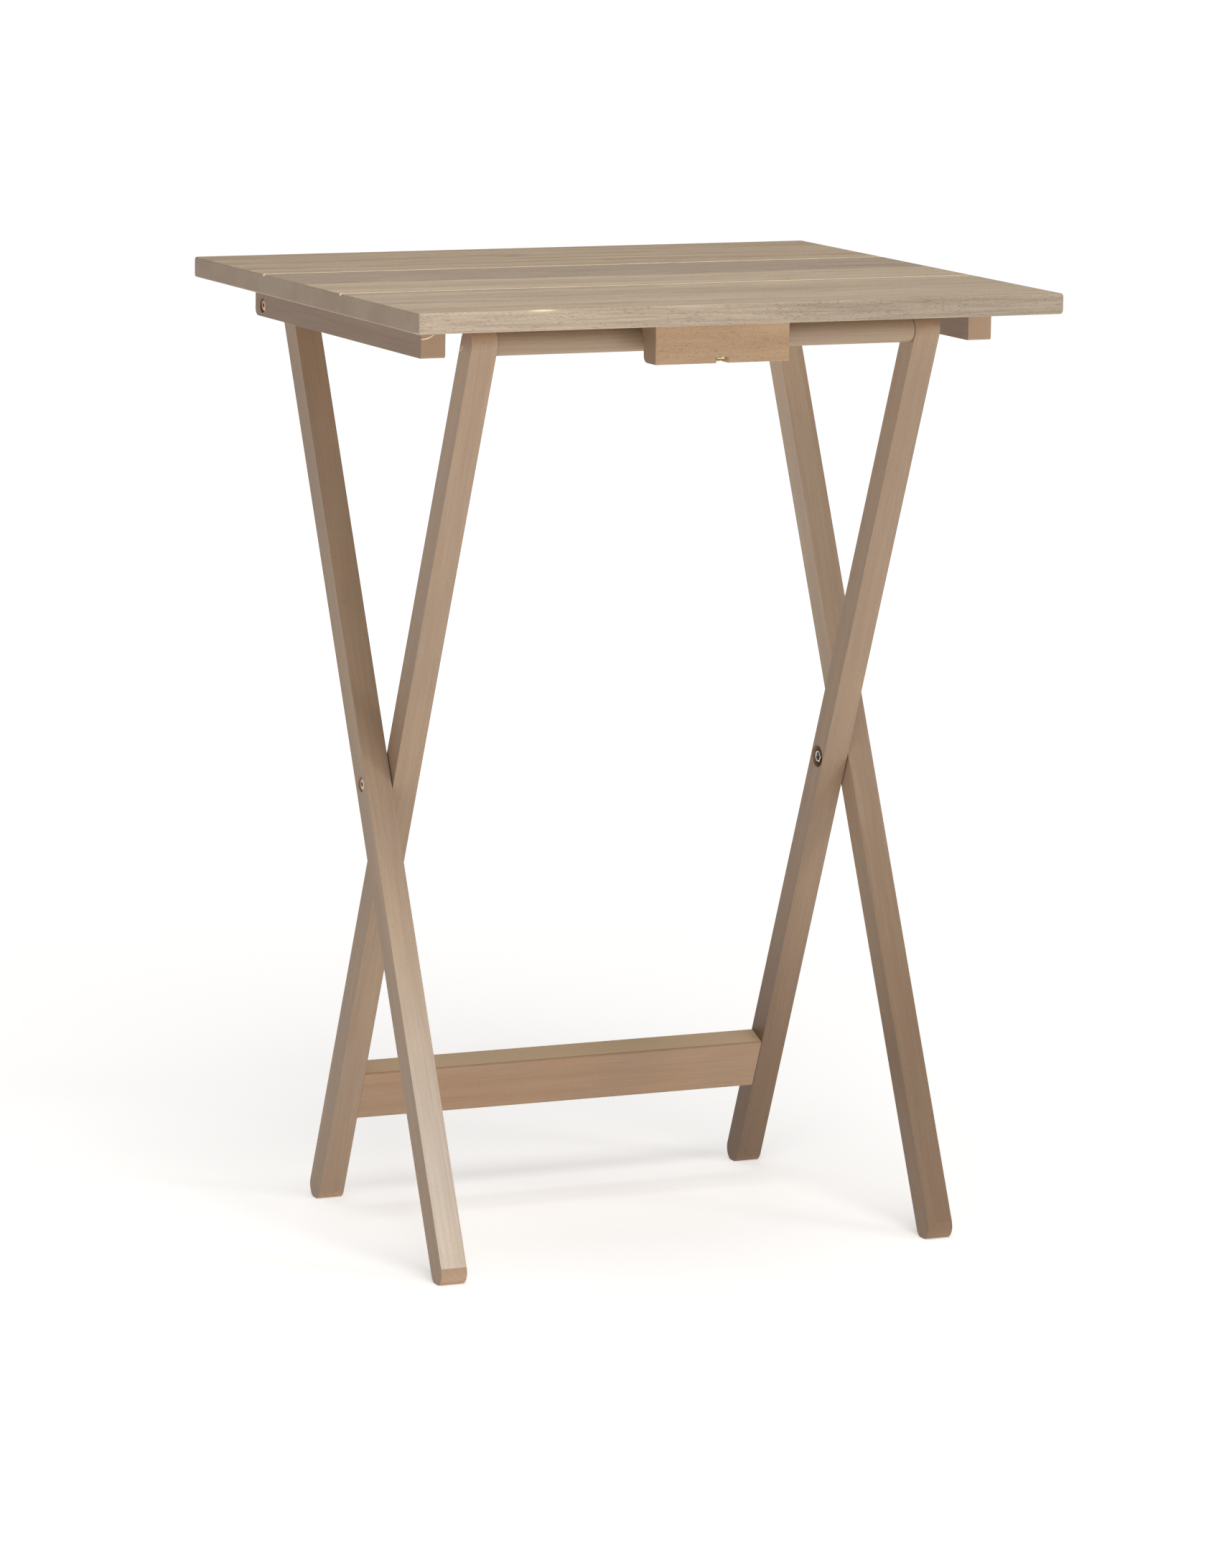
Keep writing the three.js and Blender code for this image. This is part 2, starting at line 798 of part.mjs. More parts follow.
// Everything on one pivot: headX is the recess floor, floorX the floor of the nut's counterbore.
function pivotHardware(parent, prefix, name, side, headX, floorX, y, z) {
  const washerBore = bolt.shankRadius + bolt.holeGap;
  const washerX = floorX - partGap;
  const nutX = washerX - washer.thickness - partGap;
  const nutFaceX = nutX - nut.height;
  place(
    parent,
    `${prefix}_bolt_${name}`,
    pivotBolt(headX, nutFaceX + bolt.endInset, side, y, z),
    finish(bronze, 0.35, 0.9),
  );
  place(
    parent,
    `${prefix}_washer_${name}`,
    mirroredRingX(washerBore, washer.radius, washerX, washerX - washer.thickness, side, y, z),
    finish(steel, 0.35, 1),
  );
  place(
    parent,
    `${prefix}_nut_${name}`,
    hexNut(nutX, nutFaceX, side, y, z),
    finish(steel, 0.3, 1),
  );
}

for (const { name, side } of sides) {
  pivotHardware(
    table,
    'rear_pivot',
    name,
    side,
    railOuterX - bolt.recessDepth,
    outerLegInnerX + nut.counterboreDepth,
    rearPivot.y,
    rearPivot.z,
  );
  pivotHardware(
    table,
    'middle_pivot',
    name,
    side,
    outerLegX - bolt.recessDepth,
    innerLegInnerX + nut.counterboreDepth,
    crossPivot.y,
    crossPivot.z,
  );
  const spacerMid = (outerLegInnerX + innerLegX) / 2;
  place(
    table,
    `leg_spacer_${name}`,
    mirroredRingX(
      boltHoleRadius,
      washer.radius,
      spacerMid + washer.spacerThickness / 2,
      spacerMid - washer.spacerThickness / 2,
      side,
      crossPivot.y,
      crossPivot.z,
    ),
    finish(steel, 0.4, 0.8),
  );
}

export default table;
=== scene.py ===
import json
import math

import bmesh
import bpy
from mathutils import Matrix, Vector, noise


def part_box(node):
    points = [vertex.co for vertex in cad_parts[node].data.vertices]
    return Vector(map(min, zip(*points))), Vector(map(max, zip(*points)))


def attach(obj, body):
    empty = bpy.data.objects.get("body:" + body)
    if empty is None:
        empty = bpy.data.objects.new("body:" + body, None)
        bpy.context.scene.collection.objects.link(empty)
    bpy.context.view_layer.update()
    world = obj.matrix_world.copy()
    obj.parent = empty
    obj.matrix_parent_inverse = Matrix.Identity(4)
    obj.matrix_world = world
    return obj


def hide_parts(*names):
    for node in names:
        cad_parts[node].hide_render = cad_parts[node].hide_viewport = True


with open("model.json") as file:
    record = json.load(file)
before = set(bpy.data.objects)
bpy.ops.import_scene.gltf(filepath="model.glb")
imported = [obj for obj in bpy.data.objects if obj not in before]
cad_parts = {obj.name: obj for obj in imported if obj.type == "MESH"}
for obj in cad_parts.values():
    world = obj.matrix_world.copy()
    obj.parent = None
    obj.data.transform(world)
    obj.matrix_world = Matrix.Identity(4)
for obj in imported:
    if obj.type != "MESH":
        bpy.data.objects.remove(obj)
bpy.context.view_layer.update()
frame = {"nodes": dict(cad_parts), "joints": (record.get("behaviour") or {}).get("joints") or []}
scene = bpy.context.scene
print("frame loaded")

# A folding tray table in grey-washed wood. Metres, X across the table, +Y to the rear, +Z up.


# Small helpers.
def washTone(red, green, blue):
    channels = [c / 255 for c in (red, green, blue)]
    linear = [c / 12.92 if c <= 0.04045 else ((c + 0.055) / 1.055) ** 2.4 for c in channels]
    return (*linear, 1.0)


def feed(tree, socket, value):
    if isinstance(value, bpy.types.NodeSocket):
        tree.links.new(value, socket)
    else:
        socket.default_value = value


def addNode(tree, kind, settings=None, inputs=None):
    node = tree.nodes.new(kind)
    count = len(tree.nodes)
    node.location = (220 * (count % 9), -260 * (count // 9))
    for key, value in (settings or {}).items():
        setattr(node, key, value)
    for key, value in (inputs or {}).items():
        feed(tree, node.inputs[key], value)
    return node


def calc(tree, operation, a, b=0.0, clamp=False):
    node = addNode(tree, "ShaderNodeMath", {"operation": operation, "use_clamp": clamp}, {0: a, 1: b})
    return node.outputs[0]


def times(tree, a, b, clamp=False):
    return calc(tree, "MULTIPLY", a, b, clamp)


def plus(tree, a, b):
    return calc(tree, "ADD", a, b)


def minus(tree, a, b):
    return calc(tree, "SUBTRACT", a, b)


def vectorCalc(tree, operation, a, b):
    node = addNode(tree, "ShaderNodeVectorMath", {"operation": operation}, {0: a, 1: b})
    return node.outputs[1] if operation in ("LENGTH", "DISTANCE", "DOT_PRODUCT") else node.outputs[0]


def ramp(tree, value, low, high, outLow=0.0, outHigh=1.0):
    node = addNode(tree, "ShaderNodeMapRange", {"interpolation_type": "SMOOTHSTEP"}, {
        "Value": value, "From Min": low, "From Max": high, "To Min": outLow, "To Max": outHigh,
    })
    return node.outputs[0]


def blendColor(tree, share, a, b, mode="MIX"):
    node = addNode(tree, "ShaderNodeMix", {"data_type": "RGBA", "blend_type": mode}, {0: share, 6: a, 7: b})
    return node.outputs[2]


def noiseField(tree, place, scale, detail=2.0, roughness=0.5):
    node = addNode(tree, "ShaderNodeTexNoise", {}, {
        "Vector": place, "Scale": scale, "Detail": detail, "Roughness": roughness,
    })
    return node


def stretchedNoise(tree, place, stretch, detail=2.0, roughness=0.5):
    spot = vectorCalc(tree, "MULTIPLY", place, stretch)
    return noiseField(tree, spot, 1.0, detail, roughness).outputs["Fac"]


def shaderGroup(name, inputs, outputs):
    group = bpy.data.node_groups.new(name, "ShaderNodeTree")
    kinds = {"vector": "NodeSocketVector", "value": "NodeSocketFloat", "color": "NodeSocketColor"}
    for label, kind, start in inputs:
        socket = group.interface.new_socket(label, in_out="INPUT", socket_type=kinds[kind])
        socket.default_value = start
    for label, kind in outputs:
        group.interface.new_socket(label, in_out="OUTPUT", socket_type=kinds[kind])
    source = group.nodes.new("NodeGroupInput")
    target = group.nodes.new("NodeGroupOutput")
    return group, source.outputs, target.inputs


def useGroup(tree, group, inputs):
    node = tree.nodes.new("ShaderNodeGroup")
    node.node_tree = group
    for label, value in inputs.items():
        feed(tree, node.inputs[label], value)
    return node.outputs


# Shader groups.
# How often each part of the grain changes in a metre, along the grain and across it.
grainRates = {
    "sway": (3.0, 14.0, 14.0),
    "bands": (1.6, 70.0, 70.0),
    "clouds": (11.0, 24.0, 24.0),
    "streaks": (14.0, 620.0, 620.0),
    "crowd": (40.0, 160.0, 160.0),
    "pores": (420.0, 3200.0),
}


# Grain that runs along the first axis of Place: slow bands, fine streaks and short open pores.
def makeGrainField():
    group, given, put = shaderGroup("grainField", [
        ("Place", "vector", (0, 0, 0)),
        ("Shift", "vector", (0, 0, 0)),
        ("Waviness", "value", 1.0),
        ("Pore Amount", "value", 0.5),
        ("Pore Length", "value", 1.0),
    ], [(label, "value") for label in ("Bands", "Clouds", "Streaks", "Pores", "Height")])
    t = group
    moved = vectorCalc(t, "ADD", given["Place"], given["Shift"])
    slow = noiseField(t, vectorCalc(t, "MULTIPLY", moved, grainRates["sway"]), 1.0).outputs["Color"]
    bend = vectorCalc(t, "SUBTRACT", slow, (0.5, 0.5, 0.5))
    sway = addNode(t, "ShaderNodeVectorMath", {"operation": "SCALE"}, {
        0: bend, 3: times(t, given["Waviness"], 0.02),
    }).outputs[0]
    warped = vectorCalc(t, "ADD", moved, sway)
    bands = stretchedNoise(t, warped, grainRates["bands"], 3.0, 0.55)
    feed(t, put["Bands"], ramp(t, bands, 0.33, 0.67))
    clouds = stretchedNoise(t, warped, grainRates["clouds"])
    feed(t, put["Clouds"], ramp(t, clouds, 0.34, 0.66))
    streaks = stretchedNoise(t, warped, grainRates["streaks"], 3.0, 0.6)
    feed(t, put["Streaks"], ramp(t, streaks, 0.32, 0.68))
    along, across = grainRates["pores"]
    stretch = addNode(t, "ShaderNodeCombineXYZ", {}, {
        "X": calc(t, "DIVIDE", along, given["Pore Length"]), "Y": across, "Z": across,
    }).outputs[0]
    dashes = stretchedNoise(t, warped, stretch, 0.0)
    crowd = stretchedNoise(t, moved, grainRates["crowd"])
    share = times(t, given["Pore Amount"], 0.5)
    limit = minus(t, 0.81, times(t, crowd, share))
    pores = times(t, minus(t, dashes, limit), 14.0, True)
    feed(t, put["Pores"], pores)
    fine = times(t, streaks, 0.35)
    feed(t, put["Height"], minus(t, fine, times(t, pores, 0.8)))
    return group


# Cut ends of the wood: small dark dots and faint growth rings, looking along the first axis.
def makeEndGrain():
    group, given, put = shaderGroup("endGrain", [
        ("Place", "vector", (0, 0, 0)),
        ("Heart", "vector", (0, 0.05, 0.03)),
        ("Dot Scale", "value", 1400.0),
    ], [("Dots", "value"), ("Rings", "value")])
    t = group
    flat = vectorCalc(t, "MULTIPLY", given["Place"], (0.15, 1.0, 1.0))
    cells = addNode(t, "ShaderNodeTexVoronoi", {}, {"Vector": flat, "Scale": given["Dot Scale"]})
    dots = cells.outputs["Distance"]
    patch = noiseField(t, flat, 420.0, 3.0, 0.65).outputs["Fac"]
    speck = times(t, ramp(t, dots, 0.34, 0.1), ramp(t, patch, 0.42, 0.62))
    feed(t, put["Dots"], speck)
    reach = vectorCalc(t, "DISTANCE", vectorCalc(t, "MULTIPLY", flat, (0.0, 1.0, 1.0)), given["Heart"])
    wobble = times(t, noiseField(t, flat, 60.0, 2.0).outputs["Fac"], 0.004)
    turns = calc(t, "SINE", times(t, plus(t, reach, wobble), 2200.0))
    feed(t, put["Rings"], ramp(t, turns, -1.0, 1.0))
    return group


# Where handling has rubbed the wash off the arrises, in broken lines.
def makeWornArris():
    group, given, put = shaderGroup("wornArris", [
        ("Place", "vector", (0, 0, 0)),
        ("Arris", "value", 0.0),
        ("Amount", "value", 0.5),
        ("Break Scale", "value", 45.0),
    ], [("Mask", "value")])
    t = group
    breaks = noiseField(t, given["Place"], given["Break Scale"], 4.0, 0.6).outputs["Fac"]
    strength = times(t, given["Amount"], times(t, given["Arris"], 0.6))
    edge = minus(t, 0.82, strength)
    kept = times(t, minus(t, breaks, edge), 9.0, True)
    feed(t, put["Mask"], times(t, kept, given["Arris"], True))
    return group


# A fine scratch: a short curved line at Centre, in the second and third axes of Place.
def makeScratch():
    group, given, put = shaderGroup("scratchMark", [
        ("Place", "vector", (0, 0, 0)),
        ("Centre", "vector", (0, 0, 0)),
        ("Length", "value", 0.004),
        ("Width", "value", 0.0005),
    ], [("Mask", "value")])
    t = group
    near = vectorCalc(t, "SUBTRACT", given["Place"], given["Centre"])
    parts = addNode(t, "ShaderNodeSeparateXYZ", {}, {0: near}).outputs
    share = calc(t, "DIVIDE", parts["X"], given["Length"])
    bow = times(t, given["Length"], 0.35)
    curve = times(t, times(t, share, share), bow)
    tilt = times(t, parts["X"], 0.45)
    off = calc(t, "ABSOLUTE", minus(t, plus(t, parts["Y"], tilt), curve))
    thin = ramp(t, calc(t, "DIVIDE", off, given["Width"]), 1.0, 0.5)
    ends = ramp(t, calc(t, "ABSOLUTE", share), 1.0, 0.7)
    rough = noiseField(t, given["Place"], 1500.0, 2.0).outputs["Fac"]
    feed(t, put["Mask"], times(t, times(t, thin, ends), ramp(t, rough, 0.3, 0.55)))
    return group


grainField = makeGrainField()
endGrain = makeEndGrain()
wornArris = makeWornArris()
scratchMark = makeScratch()
print("shader groups built")


# Wood finishes.
def washedWood(name, look):
    material = bpy.data.materials.new(name)
    material.use_nodes = True
    t = material.node_tree
    surface = t.nodes["Principled BSDF"]

    def attribute(label):
        return addNode(t, "ShaderNodeAttribute", {"attribute_name": label}).outputs

    place = attribute("grainPlace")["Vector"]
    if look.get("onNode"):
        place = addNode(t, "ShaderNodeTexCoord").outputs["Object"]
    grain = useGroup(t, grainField, {
        "Place": place, "Shift": look["shift"], "Waviness": look["waviness"],
        "Pore Amount": look["pores"], "Pore Length": look["poreLength"],
    })
    base = blendColor(t, grain["Bands"], look["deep"], look["body"])
    base = blendColor(t, times(t, grain["Clouds"], look["cloudShare"]), base, look["cloud"])
    if "band" in look:
        across = addNode(t, "ShaderNodeSeparateXYZ", {}, {0: place}).outputs["Y"]
        drift = stretchedNoise(t, place, (6.0, 60.0, 0.0), 3.0, 0.6)
        edge = plus(t, across, times(t, drift, 0.008))
        band = look["band"]
        dark = ramp(t, edge, band["edge"] - band["softness"], band["edge"] + band["softness"])
        base = blendColor(t, times(t, dark, band["share"]), base, band["color"])
    streak = times(t, grain["Streaks"], look["streakShare"])
    base = blendColor(t, streak, base, look["pale"])
    base = blendColor(t, times(t, grain["Pores"], look["poreShare"]), base, look["pore"])

    ends = useGroup(t, endGrain, {"Place": place, "Heart": look["heart"]})
    rings = times(t, ends["Rings"], look["ringShare"])
    cut = blendColor(t, rings, look["endBody"], look["endDeep"])
    cut = blendColor(t, times(t, grain["Clouds"], look["endCloudShare"]), cut, look["endPale"])
    cut = blendColor(t, times(t, ends["Dots"], look["dotShare"]), cut, look["endDot"])
    base = blendColor(t, attribute("endFace")["Fac"], base, cut)

    # The bare-wood layer holds real wear on the boards and the splinter, and painted light on the
    # stretcher's top faces.
    bare = attribute("bareWood")["Fac"]
    rubbedAndLit = useGroup(t, wornArris, {
        "Place": place, "Arris": attribute("arris")["Fac"],
        "Amount": look["wear"], "Break Scale": look["breakScale"],
    })["Mask"]
    light = times(t, rubbedAndLit, look["wornShare"])
    base = blendColor(t, light, base, look["worn"])
    base = blendColor(t, bare, base, look["bare"])
    if "scratch" in look:
        mark = useGroup(t, scratchMark, {"Place": place, **look["scratch"]})["Mask"]
        base = blendColor(t, mark, base, look["bare"])
    along = addNode(t, "ShaderNodeSeparateXYZ", {}, {0: place}).outputs["X"]
    # A tone along the piece. It stands in for uneven light: start and end at 1 take it out.
    tone = look["tone"]
    share = ramp(t, along, tone["from"], tone["to"], tone["start"], tone["end"])
    if tone.get("onFront"):
        change = minus(t, share, 1.0)
        share = plus(t, 1.0, times(t, change, attribute("frontFace")["Fac"]))
    # With cool, the painted light is made greyer and the painted shade warmer.
    rise = minus(t, share, 1.0)

    def tinted(amount):
        return times(t, share, plus(t, 1.0, times(t, rise, amount)))

    green, blue = (tinted(amount) for amount in tone.get("cool", (0.0, 0.0)))
    shade = addNode(t, "ShaderNodeCombineColor", {}, {0: share, 1: green, 2: blue}).outputs[0]
    base = blendColor(t, 1.0, base, shade, "MULTIPLY")
    feed(t, surface.inputs["Base Color"], base)

    rough = plus(t, look["roughness"], times(t, grain["Streaks"], look["streakRough"]))
    rough = plus(t, rough, times(t, grain["Pores"], look["poreRough"]))
    feed(t, surface.inputs["Roughness"], rough)
    surface.inputs["Specular IOR Level"].default_value = look["gloss"]
    fuzz = noiseField(t, place, look["fuzzScale"], 2.0).outputs["Fac"]
    height = plus(t, grain["Height"], times(t, fuzz, look["fuzzHeight"]))
    height = minus(t, height, times(t, ends["Dots"], look["dotDepth"]))
    bump = addNode(t, "ShaderNodeBump", {}, {
        "Strength": look["bump"], "Distance": look["bumpDistance"], "Height": height,
    })
    feed(t, surface.inputs["Normal"], bump.outputs[0])
    return material


commonLook = {
    "streakRough": 0.08, "poreRough": 0.15, "endCloudShare": 0.3,
    "fuzzScale": 2600.0, "fuzzHeight": 0.25, "dotDepth": 0.3, "bumpDistance": 0.0003,
    "tone": {"from": 0.0, "to": 0.6, "start": 1.0, "end": 1.0}, "ringShare": 0.28,
    "shift": (0, 0, 0), "waviness": 1.0, "pores": 0.62, "poreLength": 1.0, "poreShare": 0.55,
    "cloudShare": 0.35, "streakShare": 0.3, "heart": (0, 0.05, 0.03), "dotShare": 0.6,
    "wear": 0.45, "breakScale": 45.0, "wornShare": 0.75, "roughness": 0.5, "gloss": 0.32, "bump": 0.35,
    "deep": washTone(166, 148, 130), "body": washTone(184, 167, 147), "cloud": washTone(172, 156, 138),
    "pale": washTone(200, 185, 166), "pore": washTone(116, 96, 78),
    "endBody": washTone(170, 150, 132), "endDeep": washTone(144, 122, 104),
    "endPale": washTone(192, 176, 160), "endDot": washTone(112, 92, 76),
    "worn": washTone(222, 200, 168), "bare": washTone(238, 216, 180),
}

topLook = {
    **commonLook, "waviness": 1.2, "pores": 0.66, "poreShare": 0.42, "streakShare": 0.5,
    "wear": 0.3, "ringShare": 0.06, "gloss": 0.28, "pale": washTone(204, 188, 166), "poreLength": 1.2,
    "endBody": washTone(161, 141, 122), "endDeep": washTone(136, 115, 96),
    "endPale": washTone(182, 166, 149),
}

boardLooks = {
    "top_board_front": {
        **topLook, "shift": (0.31, 0.0, 0.0),
        # The tone paints light on the front edge: lighter at its left end and darker at its right.
        "tone": {"from": -0.24, "to": 0.2, "start": 1.16, "end": 0.8, "onFront": True},
        "deep": washTone(160, 143, 124), "body": washTone(190, 172, 149), "cloud": washTone(170, 154, 138),
    },
    "top_board_middle": {
        **topLook, "shift": (1.7, 0.4, 0.0),
        "deep": washTone(170, 152, 131), "body": washTone(194, 176, 153), "cloud": washTone(178, 160, 141),
        "band": {"edge": 0.001, "softness": 0.003, "share": 0.85, "color": washTone(149, 132, 119)},
    },
    "top_board_rear": {
        **topLook, "shift": (3.9, 0.8, 0.0),
        "deep": washTone(154, 134, 114), "body": washTone(186, 167, 143), "cloud": washTone(168, 149, 129),
    },
}

legLook = {
    **commonLook, "waviness": 0.5, "pores": 0.5, "poreShare": 0.3, "cloudShare": 0.45, "streakShare": 0.15,
    "deep": washTone(161, 134, 109), "body": washTone(170, 143, 117), "cloud": washTone(157, 134, 115),
    "pale": washTone(200, 180, 160), "pore": washTone(138, 114, 94),
    "endBody": washTone(172, 142, 116), "endDeep": washTone(158, 128, 102),
    "endPale": washTone(184, 156, 130),
    "endDot": washTone(140, 108, 84), "worn": washTone(204, 168, 132), "wear": 0.85, "wornShare": 0.5,
    "roughness": 0.46, "gloss": 0.4, "bump": 0.25,
}

# The rails' side colours are darker than the legs': painted shade of the tabletop's overhang, which falls
# on the rails' sides; their end colours stay close to the legs'.
railLook = {
    **legLook, "deep": washTone(131, 106, 86), "body": washTone(140, 115, 94), "pores": 0.36,
    "cloud": washTone(134, 112, 94), "endBody": washTone(168, 138, 112), "endDeep": washTone(155, 124, 99),
    "heart": (0, 0.02, 0.06), "dotShare": 0.6, "ringShare": 0.08,
}

blockLook = {
    **commonLook, "waviness": 1.6, "pores": 0.7, "poreLength": 0.9, "poreShare": 0.4, "cloudShare": 0.35,
    "streakShare": 0.22, "deep": washTone(178, 147, 116), "body": washTone(198, 166, 133),
    "cloud": washTone(190, 162, 132), "pale": washTone(214, 184, 152), "pore": washTone(136, 102, 74),
    "endBody": washTone(148, 125, 101), "endDeep": washTone(126, 103, 82),
    "endPale": washTone(160, 137, 115),
    "endDot": washTone(108, 82, 62), "worn": washTone(224, 196, 160), "wear": 0.4, "wornShare": 0.5,
    "roughness": 0.55, "gloss": 0.25, "bump": 0.4,
}


# Metal finishes.
metalLook = {
    "brightShare": 0.3, "brushHeight": 0.5, "gritHeight": 0.3, "bump": 0.25, "bumpDistance": 0.0001,
}


def wornMetal(name, look):
    material = bpy.data.materials.new(name)
    material.use_nodes = True
    t = material.node_tree
    surface = t.nodes["Principled BSDF"]
    place = addNode(t, "ShaderNodeTexCoord").outputs["Object"]
    smudge = noiseField(t, place, 260.0, 4.0, 0.6).outputs["Fac"]
    grit = noiseField(t, place, 2400.0, 2.0).outputs["Fac"]
    brushed = stretchedNoise(t, place, look["brush"], 3.0)
    tarnish = times(t, ramp(t, smudge, 0.42, 0.68), look["tarnishShare"])
    color = blendColor(t, tarnish, look["color"], look["tarnish"])
    shine = times(t, ramp(t, brushed, 0.4, 0.7), metalLook["brightShare"])
    color = blendColor(t, shine, color, look["bright"])
    feed(t, surface.inputs["Base Color"], color)
    surface.inputs["Metallic"].default_value = 1.0
    feed(t, surface.inputs["Roughness"], ramp(t, smudge, 0.35, 0.7, look["roughLow"], look["roughHigh"]))
    height = plus(t, times(t, brushed, metalLook["brushHeight"]), times(t, grit, metalLook["gritHeight"]))
    bump = addNode(t, "ShaderNodeBump", {}, {
        "Strength": metalLook["bump"], "Distance": metalLook["bumpDistance"], "Height": height,
    })
    feed(t, surface.inputs["Normal"], bump.outputs[0])
    return material


boltBronze = wornMetal("boltBronze", {
    "color": washTone(206, 174, 148), "tarnish": washTone(150, 120, 98), "bright": washTone(232, 206, 184),
    "tarnishShare": 0.45, "brush": (900.0, 900.0, 900.0), "roughLow": 0.26, "roughHigh": 0.42,
})
zincSteel = wornMetal("zincSteel", {
    "color": washTone(186, 186, 180), "tarnish": washTone(128, 128, 122), "bright": washTone(222, 222, 216),
    "tarnishShare": 0.5, "brush": (1500.0, 1500.0, 1500.0), "roughLow": 0.22, "roughHigh": 0.4,
})
springBrass = wornMetal("springBrass", {
    "color": washTone(206, 180, 124), "tarnish": washTone(150, 122, 76), "bright": washTone(230, 210, 160),
    "tarnishShare": 0.4, "brush": (2600.0, 120.0, 2600.0), "roughLow": 0.2, "roughHigh": 0.36,
})
print("finishes built")


# Wood pieces.
jointPlaces = {j["name"]: Vector(j["pos_m"]) for j in frame["joints"]}
rearPivot = jointPlaces["legs_fold"]
middlePivot = jointPlaces["middle_pivot"]


def middleOf(node):
    low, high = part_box(node)
    return (low + high) / 2


def setFloats(mesh, label, values):
    layer = mesh.attributes.new(label, "FLOAT", "POINT")
    layer.data.foreach_set("value", values)


# Places along, across and beside the grain, so that a pattern runs with a piece that leans.
def setGrainPlace(mesh, origin, along, across):
    beside = along.cross(across)
    flat = []
    for vertex in mesh.vertices:
        offset = vertex.co - origin
        flat.extend((offset.dot(along), offset.dot(across), offset.dot(beside)))
    layer = mesh.attributes.new("grainPlace", "FLOAT_VECTOR", "POINT")
    layer.data.foreach_set("vector", flat)


def setEndFaces(mesh, test):
    layer = mesh.attributes.new("endFace", "FLOAT", "FACE")
    layer.data.foreach_set("value", [1.0 if test(face) else 0.0 for face in mesh.polygons])


# How far each face looks to the front, for painted light and shade that belong on the front faces only.
def setFrontFaces(mesh, gain):
    layer = mesh.attributes.new("frontFace", "FLOAT", "FACE")
    layer.data.foreach_set("value", [min(max(-face.normal.y, 0.0) * gain, 1.0) for face in mesh.polygons])


largeFace = 0.0001  # square metres; a larger face is flat and keeps its own normal


def finishMesh(mesh, name, material):
    mesh.shade_smooth()
    mesh.set_sharp_from_angle(angle=math.radians(32))
    for face in mesh.polygons:
        face.use_smooth = face.area < largeFace
    mesh.materials.clear()
    mesh.materials.append(material)
    piece = bpy.data.objects.new(name, mesh)
    scene.collection.objects.link(piece)
    return piece


# Walls between the rings of a swept shape, with a face on the first and the last.
def skinRings(shape, rings):
    for a, b in zip(rings, rings[1:]):
        for i in range(len(a)):
            j = (i + 1) % len(a)
            shape.faces.new((a[i], a[j], b[j], b[i]))
    shape.faces.new(rings[0])
    shape.faces.new(rings[-1])


def outwardMesh(shape, name):
    bmesh.ops.recalc_face_normals(shape, faces=shape.faces)
    mesh = bpy.data.meshes.new(name)
    shape.to_mesh(mesh)
    shape.free()
    return mesh


def edgeKey(edge):
    return frozenset((edge.verts[0].co.to_tuple(6), edge.verts[1].co.to_tuple(6)))


def easeEdges(shape, edges, width, steps):
    return bmesh.ops.bevel(
        shape, geom=edges, offset=width, offset_type="OFFSET", segments=steps, profile=0.5,
        affect="EDGES", clamp_overlap=True,
    )


# The solid of a CAD node with its arrises rounded. An outline edge is an arris; any other is a hole's rim.
def roundedCopy(node, arrisWidth, rimWidth, isOutline, steps=3):
    mesh = frame["nodes"][node].data.copy()
    shape = bmesh.new()
    shape.from_mesh(mesh)
    bmesh.ops.remove_doubles(shape, verts=shape.verts, dist=2e-6)
    bmesh.ops.dissolve_limit(
        shape, angle_limit=math.radians(0.6), verts=shape.verts, edges=shape.edges, delimit={"NORMAL"},
    )
    sharp = [e for e in shape.edges if e.is_manifold and e.calc_face_angle(0.0) > math.radians(40)]
    arrises = [e for e in sharp if isOutline(e)]
    rimKeys = {edgeKey(e) for e in sharp if not isOutline(e)}
    arrisLayer = shape.verts.layers.float.new("arris")
    made = easeEdges(shape, arrises, arrisWidth, steps)
    soft = set(made["faces"])
    for vertex in shape.verts:
        if vertex.link_faces and all(face in soft for face in vertex.link_faces):
            vertex[arrisLayer] = 1.0
    rims = [e for e in shape.edges if edgeKey(e) in rimKeys]
    if rims and rimWidth > 0:
        easeEdges(shape, rims, rimWidth, 2)
    return outwardMesh(shape, node)


def longEdge(edge):
    return edge.calc_length() > 0.0021


def takePlace(piece, node, body):
    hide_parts(*([node] if isinstance(node, str) else node))
    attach(piece, body)


# Legs.
legShape = {"arris": 0.0009, "rim": 0.0003, "endRadius": 0.0093, "footFlat": 0.0006}

# A point moved sideways to the middle of the table.
def onMiddle(point):
    return Vector((0, point.y, point.z))


crossbarCentre = middleOf("crossbar")
legDirections = {
    "outer": (rearPivot - middlePivot).normalized(),
    "inner": (onMiddle(crossbarCentre) - onMiddle(middlePivot)).normalized(),
}

# Each leg's tone is painted light and shade: the outer left leg's front face is painted pale towards its
# foot and a little dark near its top, the outer right leg is painted dark low down and light higher up, the
# inner left leg is painted a little lighter near its top, and the inner right leg is painted with the outer
# leg's shadow low down.
legExtras = {
    "outer_leg_left": {
        "shift": (0.2, 0, 0), "endBody": washTone(145, 110, 83), "endDeep": washTone(133, 98, 72),
        "endPale": washTone(155, 122, 93),
        "tone": {
            "from": 0.0, "to": 0.42, "start": 1.85, "end": 0.92, "onFront": True, "cool": (0.25, 0.55),
        },
    },
    "outer_leg_right": {
        "shift": (1.1, 0, 0),
        "tone": {"from": 0.1, "to": 0.55, "start": 0.71, "end": 1.3, "cool": (0.2, 0.4)},
    },
    "inner_leg_left": {
        "shift": (2.3, 0, 0), "tone": {"from": 0.4, "to": 0.65, "start": 1.0, "end": 1.1},
        "scratch": {"Centre": (0.6771, 0.0060, 0.0), "Length": 0.0035, "Width": 0.0006},
    },
    "inner_leg_right": {
        "shift": (3.4, 0, 0),
        "tone": {"from": 0.05, "to": 0.3, "start": 0.57, "end": 0.93, "cool": (0.2, 0.4)},
    },
}


